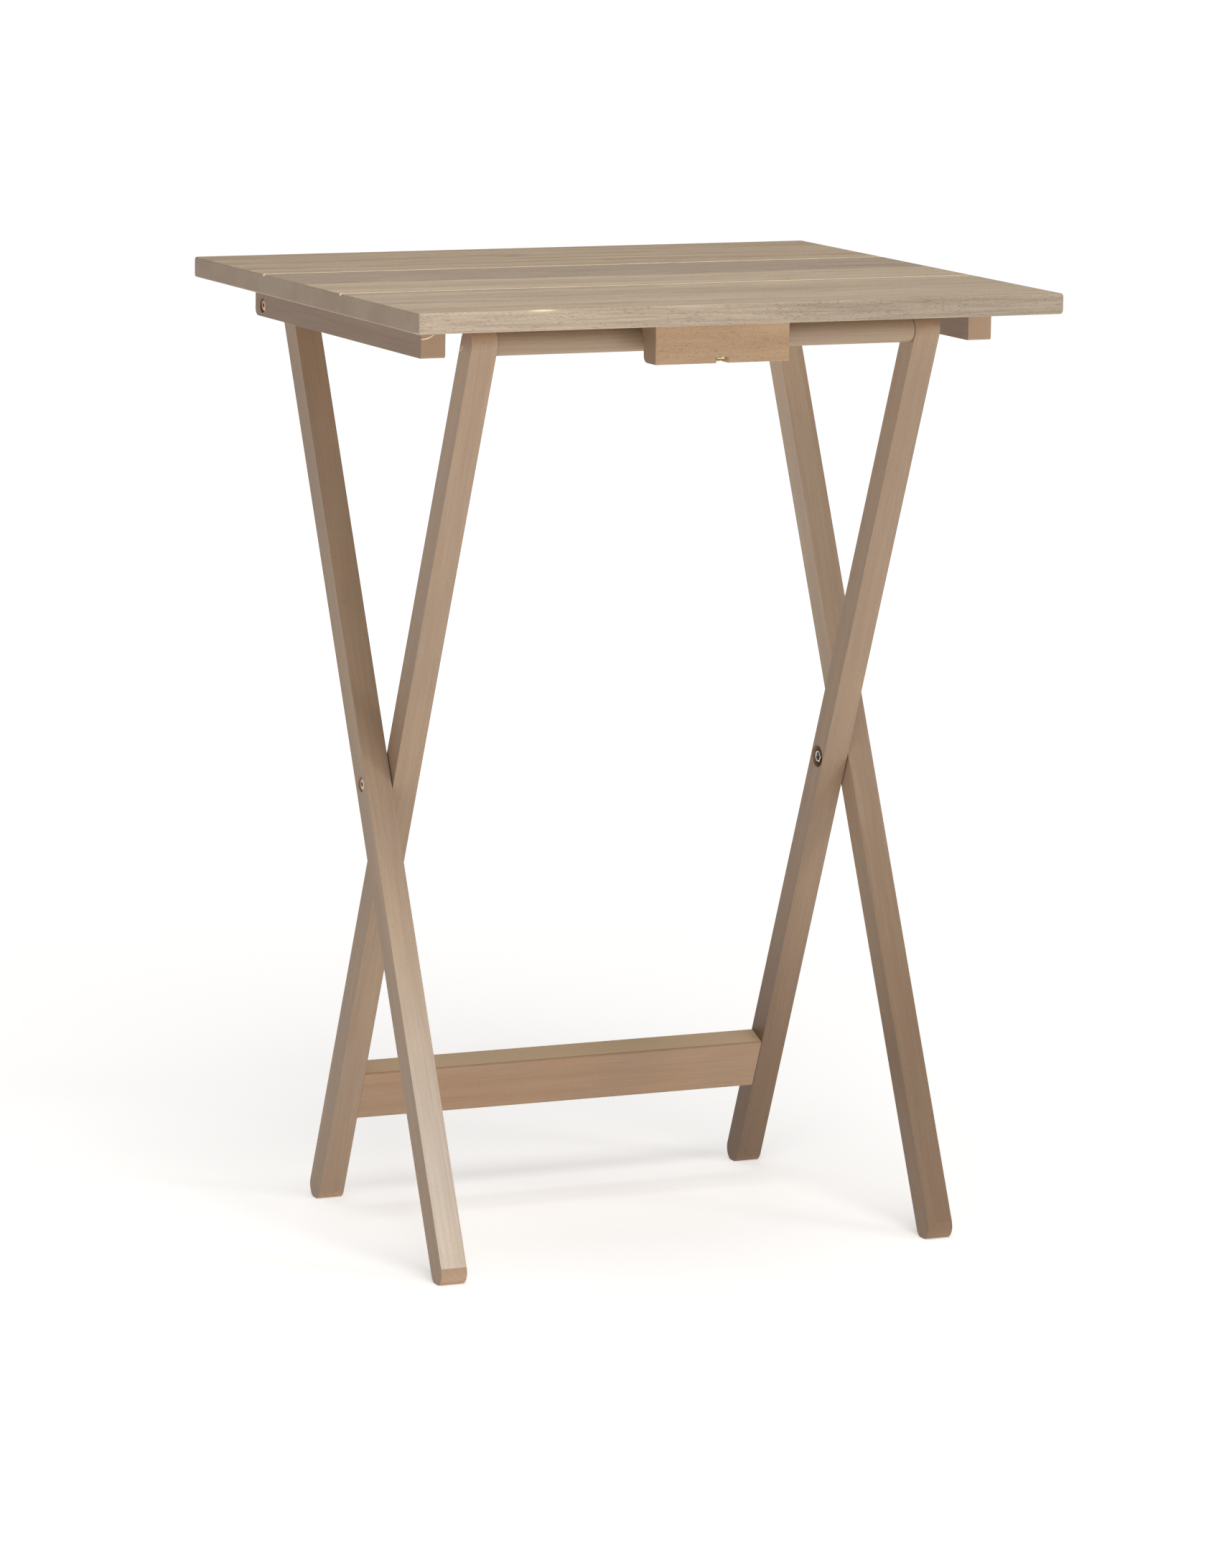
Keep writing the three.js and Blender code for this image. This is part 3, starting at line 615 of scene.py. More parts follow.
def makeLeg(kind, side):
    node = f"{kind}_leg_{side}"
    low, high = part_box(node)
    along = legDirections[kind]
    across = along.cross(Vector((1, 0, 0))).normalized()
    footHeight = legShape["endRadius"] - legShape["footFlat"]
    reach = (middlePivot.z - footHeight) / along.z
    footCentre = onMiddle(middlePivot) - along * reach
    origin = Vector(((low.x + high.x) / 2, footCentre.y, footCentre.z))
    topAlong = onMiddle((rearPivot if kind == "outer" else crossbarCentre) - origin).dot(along)
    mesh = roundedCopy(node, legShape["arris"], legShape["rim"], longEdge)
    setGrainPlace(mesh, origin, along, across)

    def isEnd(face):
        where = (face.center - origin).dot(along)
        return where < 0.0002 or (where > topAlong + 0.004 and face.normal.dot(along) > 0.6)

    setEndFaces(mesh, isEnd)
    setFrontFaces(mesh, 1.1)
    material = washedWood(f"legWash_{kind}_{side}", {**legLook, **legExtras[node]})
    piece = finishMesh(mesh, f"{kind}Leg_{side}", material)
    takePlace(piece, node, f"{kind}_legs")
    return piece


for legKind in ("outer", "inner"):
    for legSide in ("left", "right"):
        makeLeg(legKind, legSide)
print("legs made")


# Top boards.
topShape = {
    "edgeRadius": 0.0018,
    "leftEnd": {"corner": 0.0018, "edge": 0.0012},
    "rightEnd": {"corner": 0.004, "edge": 0.0026},
    "seamClose": 0.00014,
    "seamBevel": 0.0009,
    "seamWear": 0.00035,
    "seamBare": 0.65,
    "seamRub": 0.0007,
    "endChip": 0.0005,
    "cornerSteps": 8,
    "stationGap": 0.0022,
}

# Places where the wash is knocked off down to bare wood: centre, then half lengths.
bareSpots = [
    {"at": (-0.152, -0.2028, 0.6727), "reach": (0.009, 0.0009, 0.0009)},
    {"at": (-0.2409, 0.0700, 0.6722), "reach": (0.0013, 0.0012, 0.0012)},
    {"at": (-0.2409, -0.0675, 0.6722), "reach": (0.001, 0.0009, 0.001)},
    {"at": (-0.2405, -0.1985, 0.6592), "reach": (0.0022, 0.0030, 0.0008)},
]


def bareShare(point):
    best = 0.0
    for spot in bareSpots:
        gap = sum(((point[i] - spot["at"][i]) / spot["reach"][i]) ** 2 for i in range(3))
        best = max(best, min(1.0, 1.6 * math.exp(-gap) - 0.2))
    return max(best, 0.0)


# Inset of a rounded edge's outline, at a distance in from its tangent end.
def arcInset(radius, distance):
    if distance >= radius:
        return 0.0
    return radius - math.sqrt(max(radius ** 2 - (radius - distance) ** 2, 0.0))


def boardStations(low, high):
    edge = topShape["rightEnd"]["corner"]
    ends = [edge * (1 - math.cos(math.pi / 2 * i / 10)) for i in range(10)]
    count = int((high - low - 2 * edge) / topShape["stationGap"])
    middle = [low + edge + (high - low - 2 * edge) * i / count for i in range(count + 1)]
    return [low + e for e in ends] + middle + [high - e for e in reversed(ends)]


# One ring of points round the board's section, counter-clockwise seen from +X.
def boardRing(x, low, high, outerFront, outerRear):
    r = topShape["edgeRadius"]
    fromEnd = min(x - low.x, high.x - x)
    end = topShape["leftEnd" if x < (low.x + high.x) / 2 else "rightEnd"]
    dz = arcInset(end["edge"], fromEnd)
    dy = arcInset(end["corner"], fromEnd)
    y0 = low.y + (dy if outerFront else -topShape["seamClose"])
    y1 = high.y - (dy if outerRear else -topShape["seamClose"])
    z0, z1 = low.z + dz, high.z - dz
    steps = topShape["cornerSteps"]
    chip = topShape["endChip"] * math.exp(-((x - low.x) / 0.0022) ** 2)
    points = []

    def arc(cy, cz, start):
        for i in range(steps + 1):
            angle = start + math.pi / 2 * i / steps
            arris = math.sin(math.pi * i / steps)
            points.append((cy + r * math.cos(angle), cz + r * math.sin(angle), arris))

    def seam(y, direction, rising):
        worn = noise.noise(Vector((x * 90, y * 50, 3.0))) * topShape["seamWear"]
        worn += noise.noise(Vector((x * 420, y * 50, 8.0))) * topShape["seamWear"] * 0.6
        size = max(topShape["seamBevel"] + worn + chip, 0.0003)
        pair = [
            (y, z1 - size, 0.0), (y - direction * size * 0.42, z1 - size * 0.42, 3.0),
            (y - direction * size, z1, 3.0), (y - direction * (size + topShape["seamRub"]), z1, 0.0),
        ]
        base = [(y, z0, 0.0), (y, z0 + (z1 - z0) / 2, 0.0)]
        points.extend(base + pair if rising else pair[::-1] + base[::-1])

    def span(ya, yb, z, count):
        for i in range(1, count):
            points.append((ya + (yb - ya) * i / count, z, 0.0))

    if outerFront:
        arc(y0 + r, z0 + r, math.pi)
    span(y0, y1, z0, 14)
    if outerRear:
        arc(y1 - r, z0 + r, 1.5 * math.pi)
        arc(y1 - r, z1 - r, 0)
    else:
        seam(y1, 1, True)
    span(y1 - r, y0 + r, z1, 26)
    if outerFront:
        arc(y0 + r, z1 - r, math.pi / 2)
    else:
        seam(y0, -1, False)
    return points


def makeBoard(node, outerFront, outerRear):
    low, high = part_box(node)
    stations = boardStations(low.x, high.x)
    shape = bmesh.new()
    arrisLayer = shape.verts.layers.float.new("arris")
    bareLayer = shape.verts.layers.float.new("bareWood")
    rings = []
    for x in stations:
        fade = min(1.0, min(x - low.x, high.x - x) / topShape["leftEnd"]["edge"])
        endArris = 1.0 - abs(2 * fade - 1) if fade < 1 else 0.0
        ring = []
        for y, z, arris in boardRing(x, low, high, outerFront, outerRear):
            vertex = shape.verts.new((x, y, z))
            vertex[arrisLayer] = max(arris, endArris)
            seamShare = topShape["seamBare"] if arris > 1 else 0.0
            vertex[bareLayer] = max(bareShare(vertex.co), seamShare)
            ring.append(vertex)
        rings.append(ring)
    skinRings(shape, rings)
    for vertex in rings[0] + rings[-1]:
        vertex[arrisLayer] = 0.0
        vertex[bareLayer] = 0.0
    bmesh.ops.remove_doubles(shape, verts=shape.verts, dist=1e-6)
    mesh = outwardMesh(shape, node)
    setGrainPlace(mesh, Vector((0, 0, low.z)), Vector((1, 0, 0)), Vector((0, 1, 0)))
    setEndFaces(mesh, lambda face: abs(face.normal.x) > 0.72)
    setFrontFaces(mesh, 1.0)
    material = washedWood(node.replace("top_board_", "topWash_"), boardLooks[node])
    piece = finishMesh(mesh, node.replace("top_board_", "topBoard_"), material)
    takePlace(piece, node, "top")
    return piece


makeBoard("top_board_front", True, False)
makeBoard("top_board_middle", False, False)
makeBoard("top_board_rear", False, True)
print("top boards made")


# A thin splinter that hangs where the front corner meets the rail.
splinterShape = {
    "points": [
        (-0.2391, -0.2024, 0.6558), (-0.2365, -0.2025, 0.6560), (-0.2340, -0.2025, 0.6566),
        (-0.2309, -0.2021, 0.6580), (-0.2288, -0.2010, 0.6592),
    ],
    "width": 0.0006,
    "flatness": 0.7,
    "bare": 0.85,
    "sides": 8,
}


def makeSplinter():
    points = [Vector(p) for p in splinterShape["points"]]
    smooth = []
    for i in range(len(points) - 1):
        before = points[max(i - 1, 0)]
        after = points[min(i + 2, len(points) - 1)]
        for s in range(6):
            t = s / 6
            a, b = points[i], points[i + 1]
            smooth.append(0.5 * ((2 * a) + (b - before) * t + (2 * before - 5 * a + 4 * b - after) * t * t
                                 + (3 * a - before - 3 * b + after) * t ** 3))
    smooth.append(points[-1])
    shape = bmesh.new()
    rings = []
    for i, point in enumerate(smooth):
        share = i / (len(smooth) - 1)
        thick = splinterShape["width"] * max(math.sin(math.pi * min(share * 0.9 + 0.12, 1.0)) ** 0.6, 0.12)
        way = (smooth[min(i + 1, len(smooth) - 1)] - smooth[max(i - 1, 0)]).normalized()
        side = way.cross(Vector((0, 0, 1))).normalized()
        up = side.cross(way)
        ring = []
        for k in range(splinterShape["sides"]):
            angle = 2 * math.pi * k / splinterShape["sides"]
            off = side * math.cos(angle) * thick + up * math.sin(angle) * thick * splinterShape["flatness"]
            ring.append(shape.verts.new(point + off))
        rings.append(ring)
    skinRings(shape, rings)
    mesh = outwardMesh(shape, "splinter")
    setFloats(mesh, "bareWood", [splinterShape["bare"]] * len(mesh.vertices))
    setGrainPlace(mesh, points[0], Vector((1, 0, 0)), Vector((0, 1, 0)))
    piece = finishMesh(mesh, "splinter", washedWood("splinterWood", commonLook))
    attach(piece, "top")


makeSplinter()


# Rails, latch block, crossbar and stretcher.
railShape = {"arris": 0.0013, "rim": 0.0003, "corner": 0.0055, "endDepth": 0.006}


def makeRail(side):
    node = f"side_rail_{side}"
    low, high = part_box(node)

    def isOutline(edge):
        ends = [v.co for v in edge.verts]
        onSide = all(min(v.x - low.x, high.x - v.x) < 1e-5 for v in ends)
        corner = railShape["corner"]
        atRim = all(v.z - low.z < 0.0003 or min(v.y - low.y, high.y - v.y) < corner for v in ends)
        return atRim and min(v.z for v in ends) < high.z - 1e-5 and (onSide or edge.calc_length() > 0.01)

    mesh = roundedCopy(node, railShape["arris"], railShape["rim"], isOutline)
    setGrainPlace(mesh, (low + high) / 2, Vector((0, 1, 0)), Vector((0, 0, 1)))

    def isEnd(face):
        fromEnd = min(face.center.y - low.y, high.y - face.center.y)
        return abs(face.normal.y) > 0.5 and fromEnd < railShape["endDepth"]

    setEndFaces(mesh, isEnd)
    look = {**railLook, "shift": (5.3 if side == "left" else 6.1, 0, 0)}
    piece = finishMesh(mesh, f"sideRail_{side}", washedWood(f"railWash_{side}", look))
    takePlace(piece, node, "top")


for railSide in ("left", "right"):
    makeRail(railSide)


# The top-face share paints the stretcher's top faces pale with the bare-wood colour: painted light from
# above.
stretcherShape = {"arris": 0.0003, "rim": 0.0003, "paintedTopLight": 0.5}
stretcherLook = {
    **legLook, "shift": (7.7, 0, 0), "deep": washTone(169, 134, 104), "body": washTone(177, 142, 111),
    "cloud": washTone(167, 139, 113),
}


# Faces across the table that are cut ends of the wood.
def setSideEnds(mesh, high):
    setEndFaces(mesh, lambda face: abs(face.normal.x) > 0.7 and abs(face.center.x) > high.x - 0.002)


def makeStretcher():
    low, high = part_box("rear_stretcher")
    mesh = roundedCopy("rear_stretcher", stretcherShape["arris"], stretcherShape["rim"], longEdge)
    setGrainPlace(mesh, (low + high) / 2, Vector((1, 0, 0)), Vector((0, 1, 0)))
    setSideEnds(mesh, high)
    # Painted light: the top faces are lightened towards the bare-wood colour, as light from above would.
    rubbedAndLit = mesh.attributes.new("bareWood", "FLOAT", "FACE")
    bare = stretcherShape["paintedTopLight"]
    rubbedAndLit.data.foreach_set("value", [bare if face.normal.z > 0.7 else 0.0 for face in mesh.polygons])
    piece = finishMesh(mesh, "rearStretcher", washedWood("rearStretcherWash", stretcherLook))
    takePlace(piece, "rear_stretcher", "inner_legs")


blockShape = {
    "arris": 0.0007,
    "frontCorner": 0.0006,
    "rearCorner": 0.005,
    "barGap": 0.0016,
    "coveGap": 0.0003,
    "slotWidth": 0.0094,
    "slotHeight": 0.004,
    "boreGap": 0.0003,
}


# Points of a loop moved inwards, each along the mitre of its two sides.
def insetLoop(loop, amount):
    moved = []
    for i, point in enumerate(loop):
        before = (point - loop[i - 1]).normalized()
        after = (loop[(i + 1) % len(loop)] - point).normalized()
        first = Vector((-before.y, before.x))
        second = Vector((-after.y, after.x))
        moved.append(point + (first + second) / (1 + first.dot(second)) * amount)
    return moved


def arcPoints(centre, radius, start, end, steps):
    angles = [start + (end - start) * i / steps for i in range(steps + 1)]
    return [Vector((centre[0] + radius * math.cos(a), centre[1] + radius * math.sin(a))) for a in angles]


def blockLoop(low, high, bar, barRadius):
    wallRear = bar.y - barRadius - blockShape["barGap"]
    cove = barRadius + blockShape["coveGap"]
    front, rear = blockShape["frontCorner"], blockShape["rearCorner"]
    loop = arcPoints((low.y + front, low.z + front), front, math.pi, 1.5 * math.pi, 5)
    span = wallRear - rear - low.y - front
    loop += [Vector((low.y + front + span * i / 8, low.z)) for i in range(1, 8)]
    loop += arcPoints((wallRear - rear, low.z + rear), rear, 1.5 * math.pi, 2 * math.pi, 12)
    loop += [Vector((wallRear, bar.z))]
    loop += arcPoints((bar.y, bar.z), cove, math.pi, math.pi / 2, 16)
    loop += [Vector((high.y, bar.z + cove)), Vector((high.y, high.z))]
    loop += [Vector((low.y + (high.y - low.y) * i / 8, high.z)) for i in range(7, 0, -1)]
    loop += [Vector((low.y, high.z - 0.0002))]
    tall = high.z - low.z - front
    return loop + [Vector((low.y, high.z - 0.0002 - tall * i / 10)) for i in range(1, 10)]


def carveMesh(mesh, cutters):
    host = bpy.data.objects.new("carveHost", mesh)
    scene.collection.objects.link(host)
    tools = []
    for i, cutter in enumerate(cutters):
        tool = bpy.data.objects.new(f"carveTool{i}", cutter)
        scene.collection.objects.link(tool)
        modifier = host.modifiers.new(f"carve{i}", "BOOLEAN")
        modifier.operation = "DIFFERENCE"
        modifier.solver = "EXACT"
        modifier.object = tool
        tools.append(tool)
    graph = bpy.context.evaluated_depsgraph_get()
    carved = bpy.data.meshes.new_from_object(host.evaluated_get(graph), depsgraph=graph)
    for thing in [host, *tools]:
        bpy.data.objects.remove(thing)
    return carved


def rodMesh(centre, radius, bottom, top, sides=40):
    shape = bmesh.new()
    made = bmesh.ops.create_cone(
        shape, cap_ends=True, segments=sides, radius1=radius, radius2=radius, depth=top - bottom,
    )
    bmesh.ops.translate(shape, verts=made["verts"], vec=(centre.x, centre.y, (top + bottom) / 2))
    mesh = bpy.data.meshes.new("rod")
    shape.to_mesh(mesh)
    shape.free()
    return mesh


def makeLatchBlock():
    low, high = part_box("latch_block")
    barLow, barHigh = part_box("crossbar")
    bar = (barLow + barHigh) / 2
    loop = blockLoop(low, high, bar, (barHigh.z - barLow.z) / 2)
    arris = blockShape["arris"]
    slotHalf = blockShape["slotWidth"] / 2
    roof = low.z + blockShape["slotHeight"]
    turns = [math.pi / 2 * i / 4 for i in range(5)]
    ends = [(arris * (1 - math.cos(a)), arris * (1 - math.sin(a))) for a in turns]
    spread = [low.x + arris + (-slotHalf - low.x - arris) * i / 14 for i in range(1, 15)]
    left = [(low.x + along, inset, False) for along, inset in ends] + [(x, 0.0, False) for x in spread]
    slot = [(-slotHalf, 0.0, True), (0.0, 0.0, True)]
    stations = left + slot + [(-x, inset, cut) for x, inset, cut in reversed(left + slot[:1])]
    shape = bmesh.new()
    arrisLayer = shape.verts.layers.float.new("arris")
    rings = []
    for x, inset, cut in stations:
        ring = []
        for point in insetLoop(loop, inset):
            z = max(point.y, roof) if cut else point.y
            vertex = shape.verts.new((x, point.x, z))
            vertex[arrisLayer] = 1.0 if 0 < inset < arris else 0.0
            ring.append(vertex)
        rings.append(ring)
    for i in range(1, 5):
        for ring in rings:
            ring[i][arrisLayer] = 1.0
    skinRings(shape, rings)
    bmesh.ops.remove_doubles(shape, verts=shape.verts, dist=1e-6)
    mesh = outwardMesh(shape, "latch_block")
    cutters = []
    for number in (1, 2):
        screwLow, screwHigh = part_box(f"latch_block_screw_{number}")
        radius = (screwHigh.x - screwLow.x) / 2 + blockShape["boreGap"]
        cutters.append(rodMesh((screwLow + screwHigh) / 2, radius, low.z - 0.002, screwLow.z + 0.0012))
    mesh = carveMesh(mesh, cutters)
    setGrainPlace(mesh, (low + high) / 2, Vector((1, 0, 0)), Vector((0, 1, 0)))
    setSideEnds(mesh, high)
    piece = finishMesh(mesh, "latchBlock", washedWood("blockWash", blockLook))
    takePlace(piece, "latch_block", "top")


makeLatchBlock()
makeStretcher()

crossbarShape = {
    "sides": 72,
    "stationGap": 0.004,
    "shoulderGap": 0.0002,
    "shoulderEase": 0.0006,
    "tenonRadius": 0.0055,
    "tenonEase": 0.0005,
    "unevenness": 0.006,
}
crossbarLook = {
    **legLook, "shift": (9.1, 0, 0), "deep": washTone(151, 128, 105), "body": washTone(163, 139, 114),
}


# The crossbar, turned with a tenon at each end; it is very slightly uneven, as sanded dowel is.
def makeCrossbar():
    low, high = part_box("crossbar")
    centre = (low + high) / 2
    radius = (high.z - low.z) / 2
    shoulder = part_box("inner_leg_right")[0].x - crossbarShape["shoulderGap"]
    tenon, tenonEase = crossbarShape["tenonRadius"], crossbarShape["tenonEase"]
    ease = crossbarShape["shoulderEase"]
    count = int(shoulder / crossbarShape["stationGap"])
    right = [((shoulder - ease) * i / count, radius) for i in range(count + 1)] + [
        (shoulder - ease * 0.4, radius - ease * 0.15), (shoulder, radius - ease), (shoulder, tenon),
        (high.x - tenonEase, tenon), (high.x, tenon - tenonEase), (high.x, 0.0),
    ]
    points = [(-x, r) for x, r in reversed(right[1:])] + right
    shape = bmesh.new()
    rings = []
    for x, r in points:
        if r == 0.0:
            rings.append([shape.verts.new((x, centre.y, centre.z))])
            continue
        ring = []
        for k in range(crossbarShape["sides"]):
            angle = 2 * math.pi * k / crossbarShape["sides"]
            y, z = math.cos(angle), math.sin(angle)
            worn = crossbarShape["unevenness"] * (0.5 + 0.5 * noise.noise(Vector((x * 14, y, z))))
            around = r * (1.0 - worn)
            ring.append(shape.verts.new((x, centre.y + around * y, centre.z + around * z)))
        rings.append(ring)
    for a, b in zip(rings, rings[1:]):
        for i in range(crossbarShape["sides"]):
            j = (i + 1) % crossbarShape["sides"]
            if len(a) == 1:
                shape.faces.new((a[0], b[j], b[i]))
            elif len(b) == 1:
                shape.faces.new((a[i], a[j], b[0]))
            else:
                shape.faces.new((a[i], a[j], b[j], b[i]))
    mesh = outwardMesh(shape, "crossbar")
    setGrainPlace(mesh, centre, Vector((1, 0, 0)), Vector((0, 1, 0)))
    setEndFaces(mesh, lambda face: abs(face.normal.x) > 0.8)
    piece = finishMesh(mesh, "crossbarDowel", washedWood("crossbarWash", crossbarLook))
    takePlace(piece, "crossbar", "inner_legs")


makeCrossbar()


# The pins keep their CAD shape and take a finish of their own.
pinWood = washedWood("pinWood", {**blockLook, "shift": (12.0, 0, 0), "onNode": True})
for pinSide in ("left", "right"):
    for pinNumber in (1, 2):
        pin = frame["nodes"][f"stretcher_pin_{pinSide}_{pinNumber}"]
        pin.data.materials.clear()
        pin.data.materials.append(pinWood)
print("rails, latch block, crossbar and stretcher made")


# Metal strip of the latch.
def makeSpring():
    mesh = roundedCopy("latch_spring", 0.0002, 0.0, lambda edge: True)
    piece = finishMesh(mesh, "latchStrip", springBrass)
    takePlace(piece, "latch_spring", "top")


makeSpring()


# Bolts, nuts, washers and screws, by geometry nodes.
def geometryTree(name, sizes):
    tree = bpy.data.node_groups.new(name, "GeometryNodeTree")
    tree.interface.new_socket("Geometry", in_out="INPUT", socket_type="NodeSocketGeometry")
    for label, size in sizes.items():
        socket = tree.interface.new_socket(label, in_out="INPUT", socket_type="NodeSocketFloat")
        socket.default_value = size
    tree.interface.new_socket("Finish", in_out="INPUT", socket_type="NodeSocketMaterial")
    tree.interface.new_socket("Geometry", in_out="OUTPUT", socket_type="NodeSocketGeometry")
    given = tree.nodes.new("NodeGroupInput").outputs
    put = tree.nodes.new("NodeGroupOutput").inputs
    return tree, given, put


# Turns a profile of (radius, height) pairs about Z, and closes it at the axis and where it meets.
# With flats, no radius passes a hexagon that far from the axis.
def turned(tree, profile, sides=48, flats=None):
    grid = addNode(tree, "GeometryNodeMeshGrid", {}, {
        "Size X": 1.0, "Size Y": 1.0, "Vertices X": sides + 1, "Vertices Y": len(profile),
    }).outputs["Mesh"]
    place = addNode(tree, "GeometryNodeInputPosition").outputs[0]
    parts = addNode(tree, "ShaderNodeSeparateXYZ", {}, {0: place}).outputs
    angle = times(tree, plus(tree, parts["X"], 0.5), 2 * math.pi)
    row = times(tree, plus(tree, parts["Y"], 0.5), len(profile) - 1)
    rowNumber = addNode(tree, "FunctionNodeFloatToInt", {"rounding_mode": "ROUND"}, {0: row}).outputs[0]
    choose = addNode(tree, "GeometryNodeIndexSwitch", {"data_type": "VECTOR"})
    while len(choose.index_switch_items) < len(profile):
        choose.index_switch_items.new()
    feed(tree, choose.inputs["Index"], rowNumber)
    for i, (radius, height) in enumerate(profile):
        pair = addNode(tree, "ShaderNodeCombineXYZ", {}, {"X": radius, "Z": height}).outputs[0]
        feed(tree, choose.inputs[i + 1], pair)
    spot = addNode(tree, "ShaderNodeSeparateXYZ", {}, {0: choose.outputs[0]}).outputs
    radius = spot["X"]
    if flats is not None:
        turn = calc(tree, "FLOORED_MODULO", plus(tree, angle, math.pi / 6), math.pi / 3)
        lean = calc(tree, "COSINE", minus(tree, turn, math.pi / 6))
        radius = calc(tree, "MINIMUM", radius, calc(tree, "DIVIDE", flats, lean))
    put = addNode(tree, "ShaderNodeCombineXYZ", {}, {
        "X": times(tree, radius, calc(tree, "COSINE", angle)),
        "Y": times(tree, radius, calc(tree, "SINE", angle)),
        "Z": spot["Z"],
    }).outputs[0]
    moved = addNode(tree, "GeometryNodeSetPosition", {}, {"Geometry": grid, "Position": put}).outputs[0]
    merged = addNode(tree, "GeometryNodeMergeByDistance", {}, {"Geometry": moved, "Distance": 1e-6})
    return merged.outputs[0]


def prism(tree, radius, bottom, top, corners):
    solid = addNode(tree, "GeometryNodeMeshCylinder", {}, {
        "Vertices": corners, "Radius": radius, "Depth": minus(tree, top, bottom),
    }).outputs["Mesh"]
    lift = addNode(tree, "ShaderNodeCombineXYZ", {}, {
        "Z": times(tree, plus(tree, top, bottom), 0.5),
    }).outputs[0]
    return addNode(tree, "GeometryNodeTransform", {}, {"Geometry": solid, "Translation": lift}).outputs[0]


def carve(tree, solid, tools):
    node = addNode(tree, "GeometryNodeMeshBoolean", {"operation": "DIFFERENCE"}, {"Mesh 1": solid})
    for tool in tools:
        feed(tree, node.inputs["Mesh 2"], tool)
    return node.outputs["Mesh"]


# Sets one fastener at each point, aimed by the point's aim, with a fixed random spin.
def setOut(tree, given, put, solid, seed, maxSpin):
    aim = addNode(tree, "GeometryNodeInputNamedAttribute", {"data_type": "FLOAT_VECTOR"}, {"Name": "aim"})
    facing = addNode(tree, "FunctionNodeAlignRotationToVector", {"axis": "Z"}, {
        "Vector": aim.outputs[0],
    }).outputs[0]
    spin = addNode(tree, "FunctionNodeRandomValue", {"data_type": "FLOAT"}, {"Seed": seed})
    feed(tree, spin.inputs[2], 0.0)
    feed(tree, spin.inputs[3], maxSpin)
    about = addNode(tree, "ShaderNodeCombineXYZ", {}, {"Z": spin.outputs[1]}).outputs[0]
    asTurn = addNode(tree, "FunctionNodeEulerToRotation", {}, {0: about}).outputs[0]
    turn = addNode(tree, "FunctionNodeRotateRotation", {"rotation_space": "LOCAL"}, {
        0: facing, 1: asTurn,
    }).outputs[0]
    placed = addNode(tree, "GeometryNodeInstanceOnPoints", {}, {
        "Points": given["Geometry"], "Instance": solid, "Rotation": turn,
    }).outputs[0]
    real = addNode(tree, "GeometryNodeRealizeInstances", {}, {0: placed}).outputs[0]
    finished = addNode(tree, "GeometryNodeSetMaterial", {}, {"Geometry": real, "Material": given["Finish"]})
    feed(tree, put["Geometry"], finished.outputs[0])


def runTree(name, tree, points, sizes, material):
    seedMesh = bpy.data.meshes.new(name + "Points")
    seedMesh.from_pydata([place for place, aim in points], [], [])
    aims = seedMesh.attributes.new("aim", "FLOAT_VECTOR", "POINT")
    aims.data.foreach_set("vector", [c for place, aim in points for c in aim])
    host = bpy.data.objects.new(name + "Host", seedMesh)
    scene.collection.objects.link(host)
    modifier = host.modifiers.new("setOut", "NODES")
    modifier.node_group = tree
    for item in tree.interface.items_tree:
        if item.in_out == "INPUT" and item.name in sizes:
            modifier[item.identifier] = sizes[item.name]
        if item.in_out == "INPUT" and item.name == "Finish":
            modifier[item.identifier] = material
    graph = bpy.context.evaluated_depsgraph_get()
    mesh = bpy.data.meshes.new_from_object(host.evaluated_get(graph), depsgraph=graph)
    host.modifiers.remove(modifier)
    bpy.data.objects.remove(host)
    shape = bmesh.new()
    shape.from_mesh(mesh)
    bmesh.ops.remove_doubles(shape, verts=shape.verts, dist=1e-6)
    bmesh.ops.recalc_face_normals(shape, faces=shape.faces)
    shape.to_mesh(mesh)
    shape.free()
    return finishMesh(mesh, name, material)


# Low button head with a hexagon socket. Z = 0 is the seat of the head, and the shank goes down.
boltSizes = {
    "Head Radius": 0.0048, "Head Height": 0.0017, "Crown": 0.0006, "Shank Radius": 0.0025,
    "Shank Length": 0.035, "Socket": 0.00175, "Socket Depth": 0.0011,
}


def makeBoltTree():
    tree, given, put = geometryTree("pivotBolt", boltSizes)
    t = tree
    head, height, crown = given["Head Radius"], given["Head Height"], given["Crown"]
    shank, length = given["Shank Radius"], given["Shank Length"]
    down = times(t, length, -1.0)
    rim = minus(t, height, crown)
    profile = [
        (0.0, down),
        (minus(t, shank, 0.0005), down),
        (shank, plus(t, down, 0.0005)),
        (shank, 0.0),
        (minus(t, head, 0.0002), 0.0),
        (head, 0.0002),
        (head, times(t, rim, 0.6)),
        (times(t, head, 0.975), rim),
        (times(t, head, 0.9), plus(t, rim, times(t, crown, 0.45))),
        (times(t, head, 0.74), plus(t, rim, times(t, crown, 0.82))),
        (times(t, head, 0.55), height),
        (0.0, height),
    ]
    solid = turned(t, profile, 56)
    floor = minus(t, height, given["Socket Depth"])
    socket = prism(t, given["Socket"], floor, plus(t, height, 0.002), 6)
    setOut(t, given, put, carve(t, solid, [socket]), seed=11, maxSpin=1.0)
    return tree


nutSizes = {"Across Flats": 0.008, "Height": 0.0036, "Bore": 0.00265}


def makeNutTree():
    tree, given, put = geometryTree("hexNut", nutSizes)
    t = tree
    height, bore = given["Height"], given["Bore"]
    flats = times(t, given["Across Flats"], 0.5)
    corner = times(t, flats, 1.16)
    land = times(t, flats, 0.96)
    cone = times(t, flats, 1.06)
    mouth = plus(t, bore, 0.0004)
    ease, top = 0.00045, minus(t, height, 0.00045)
    solid = turned(t, [
        (mouth, 0.0), (land, 0.0), (cone, 0.0002), (corner, ease), (corner, top),
        (cone, minus(t, height, 0.0002)), (land, height), (mouth, height),
        (bore, top), (bore, ease), (mouth, 0.0),
    ], 96, flats)
    setOut(t, given, put, solid, seed=5, maxSpin=1.0)
    return tree


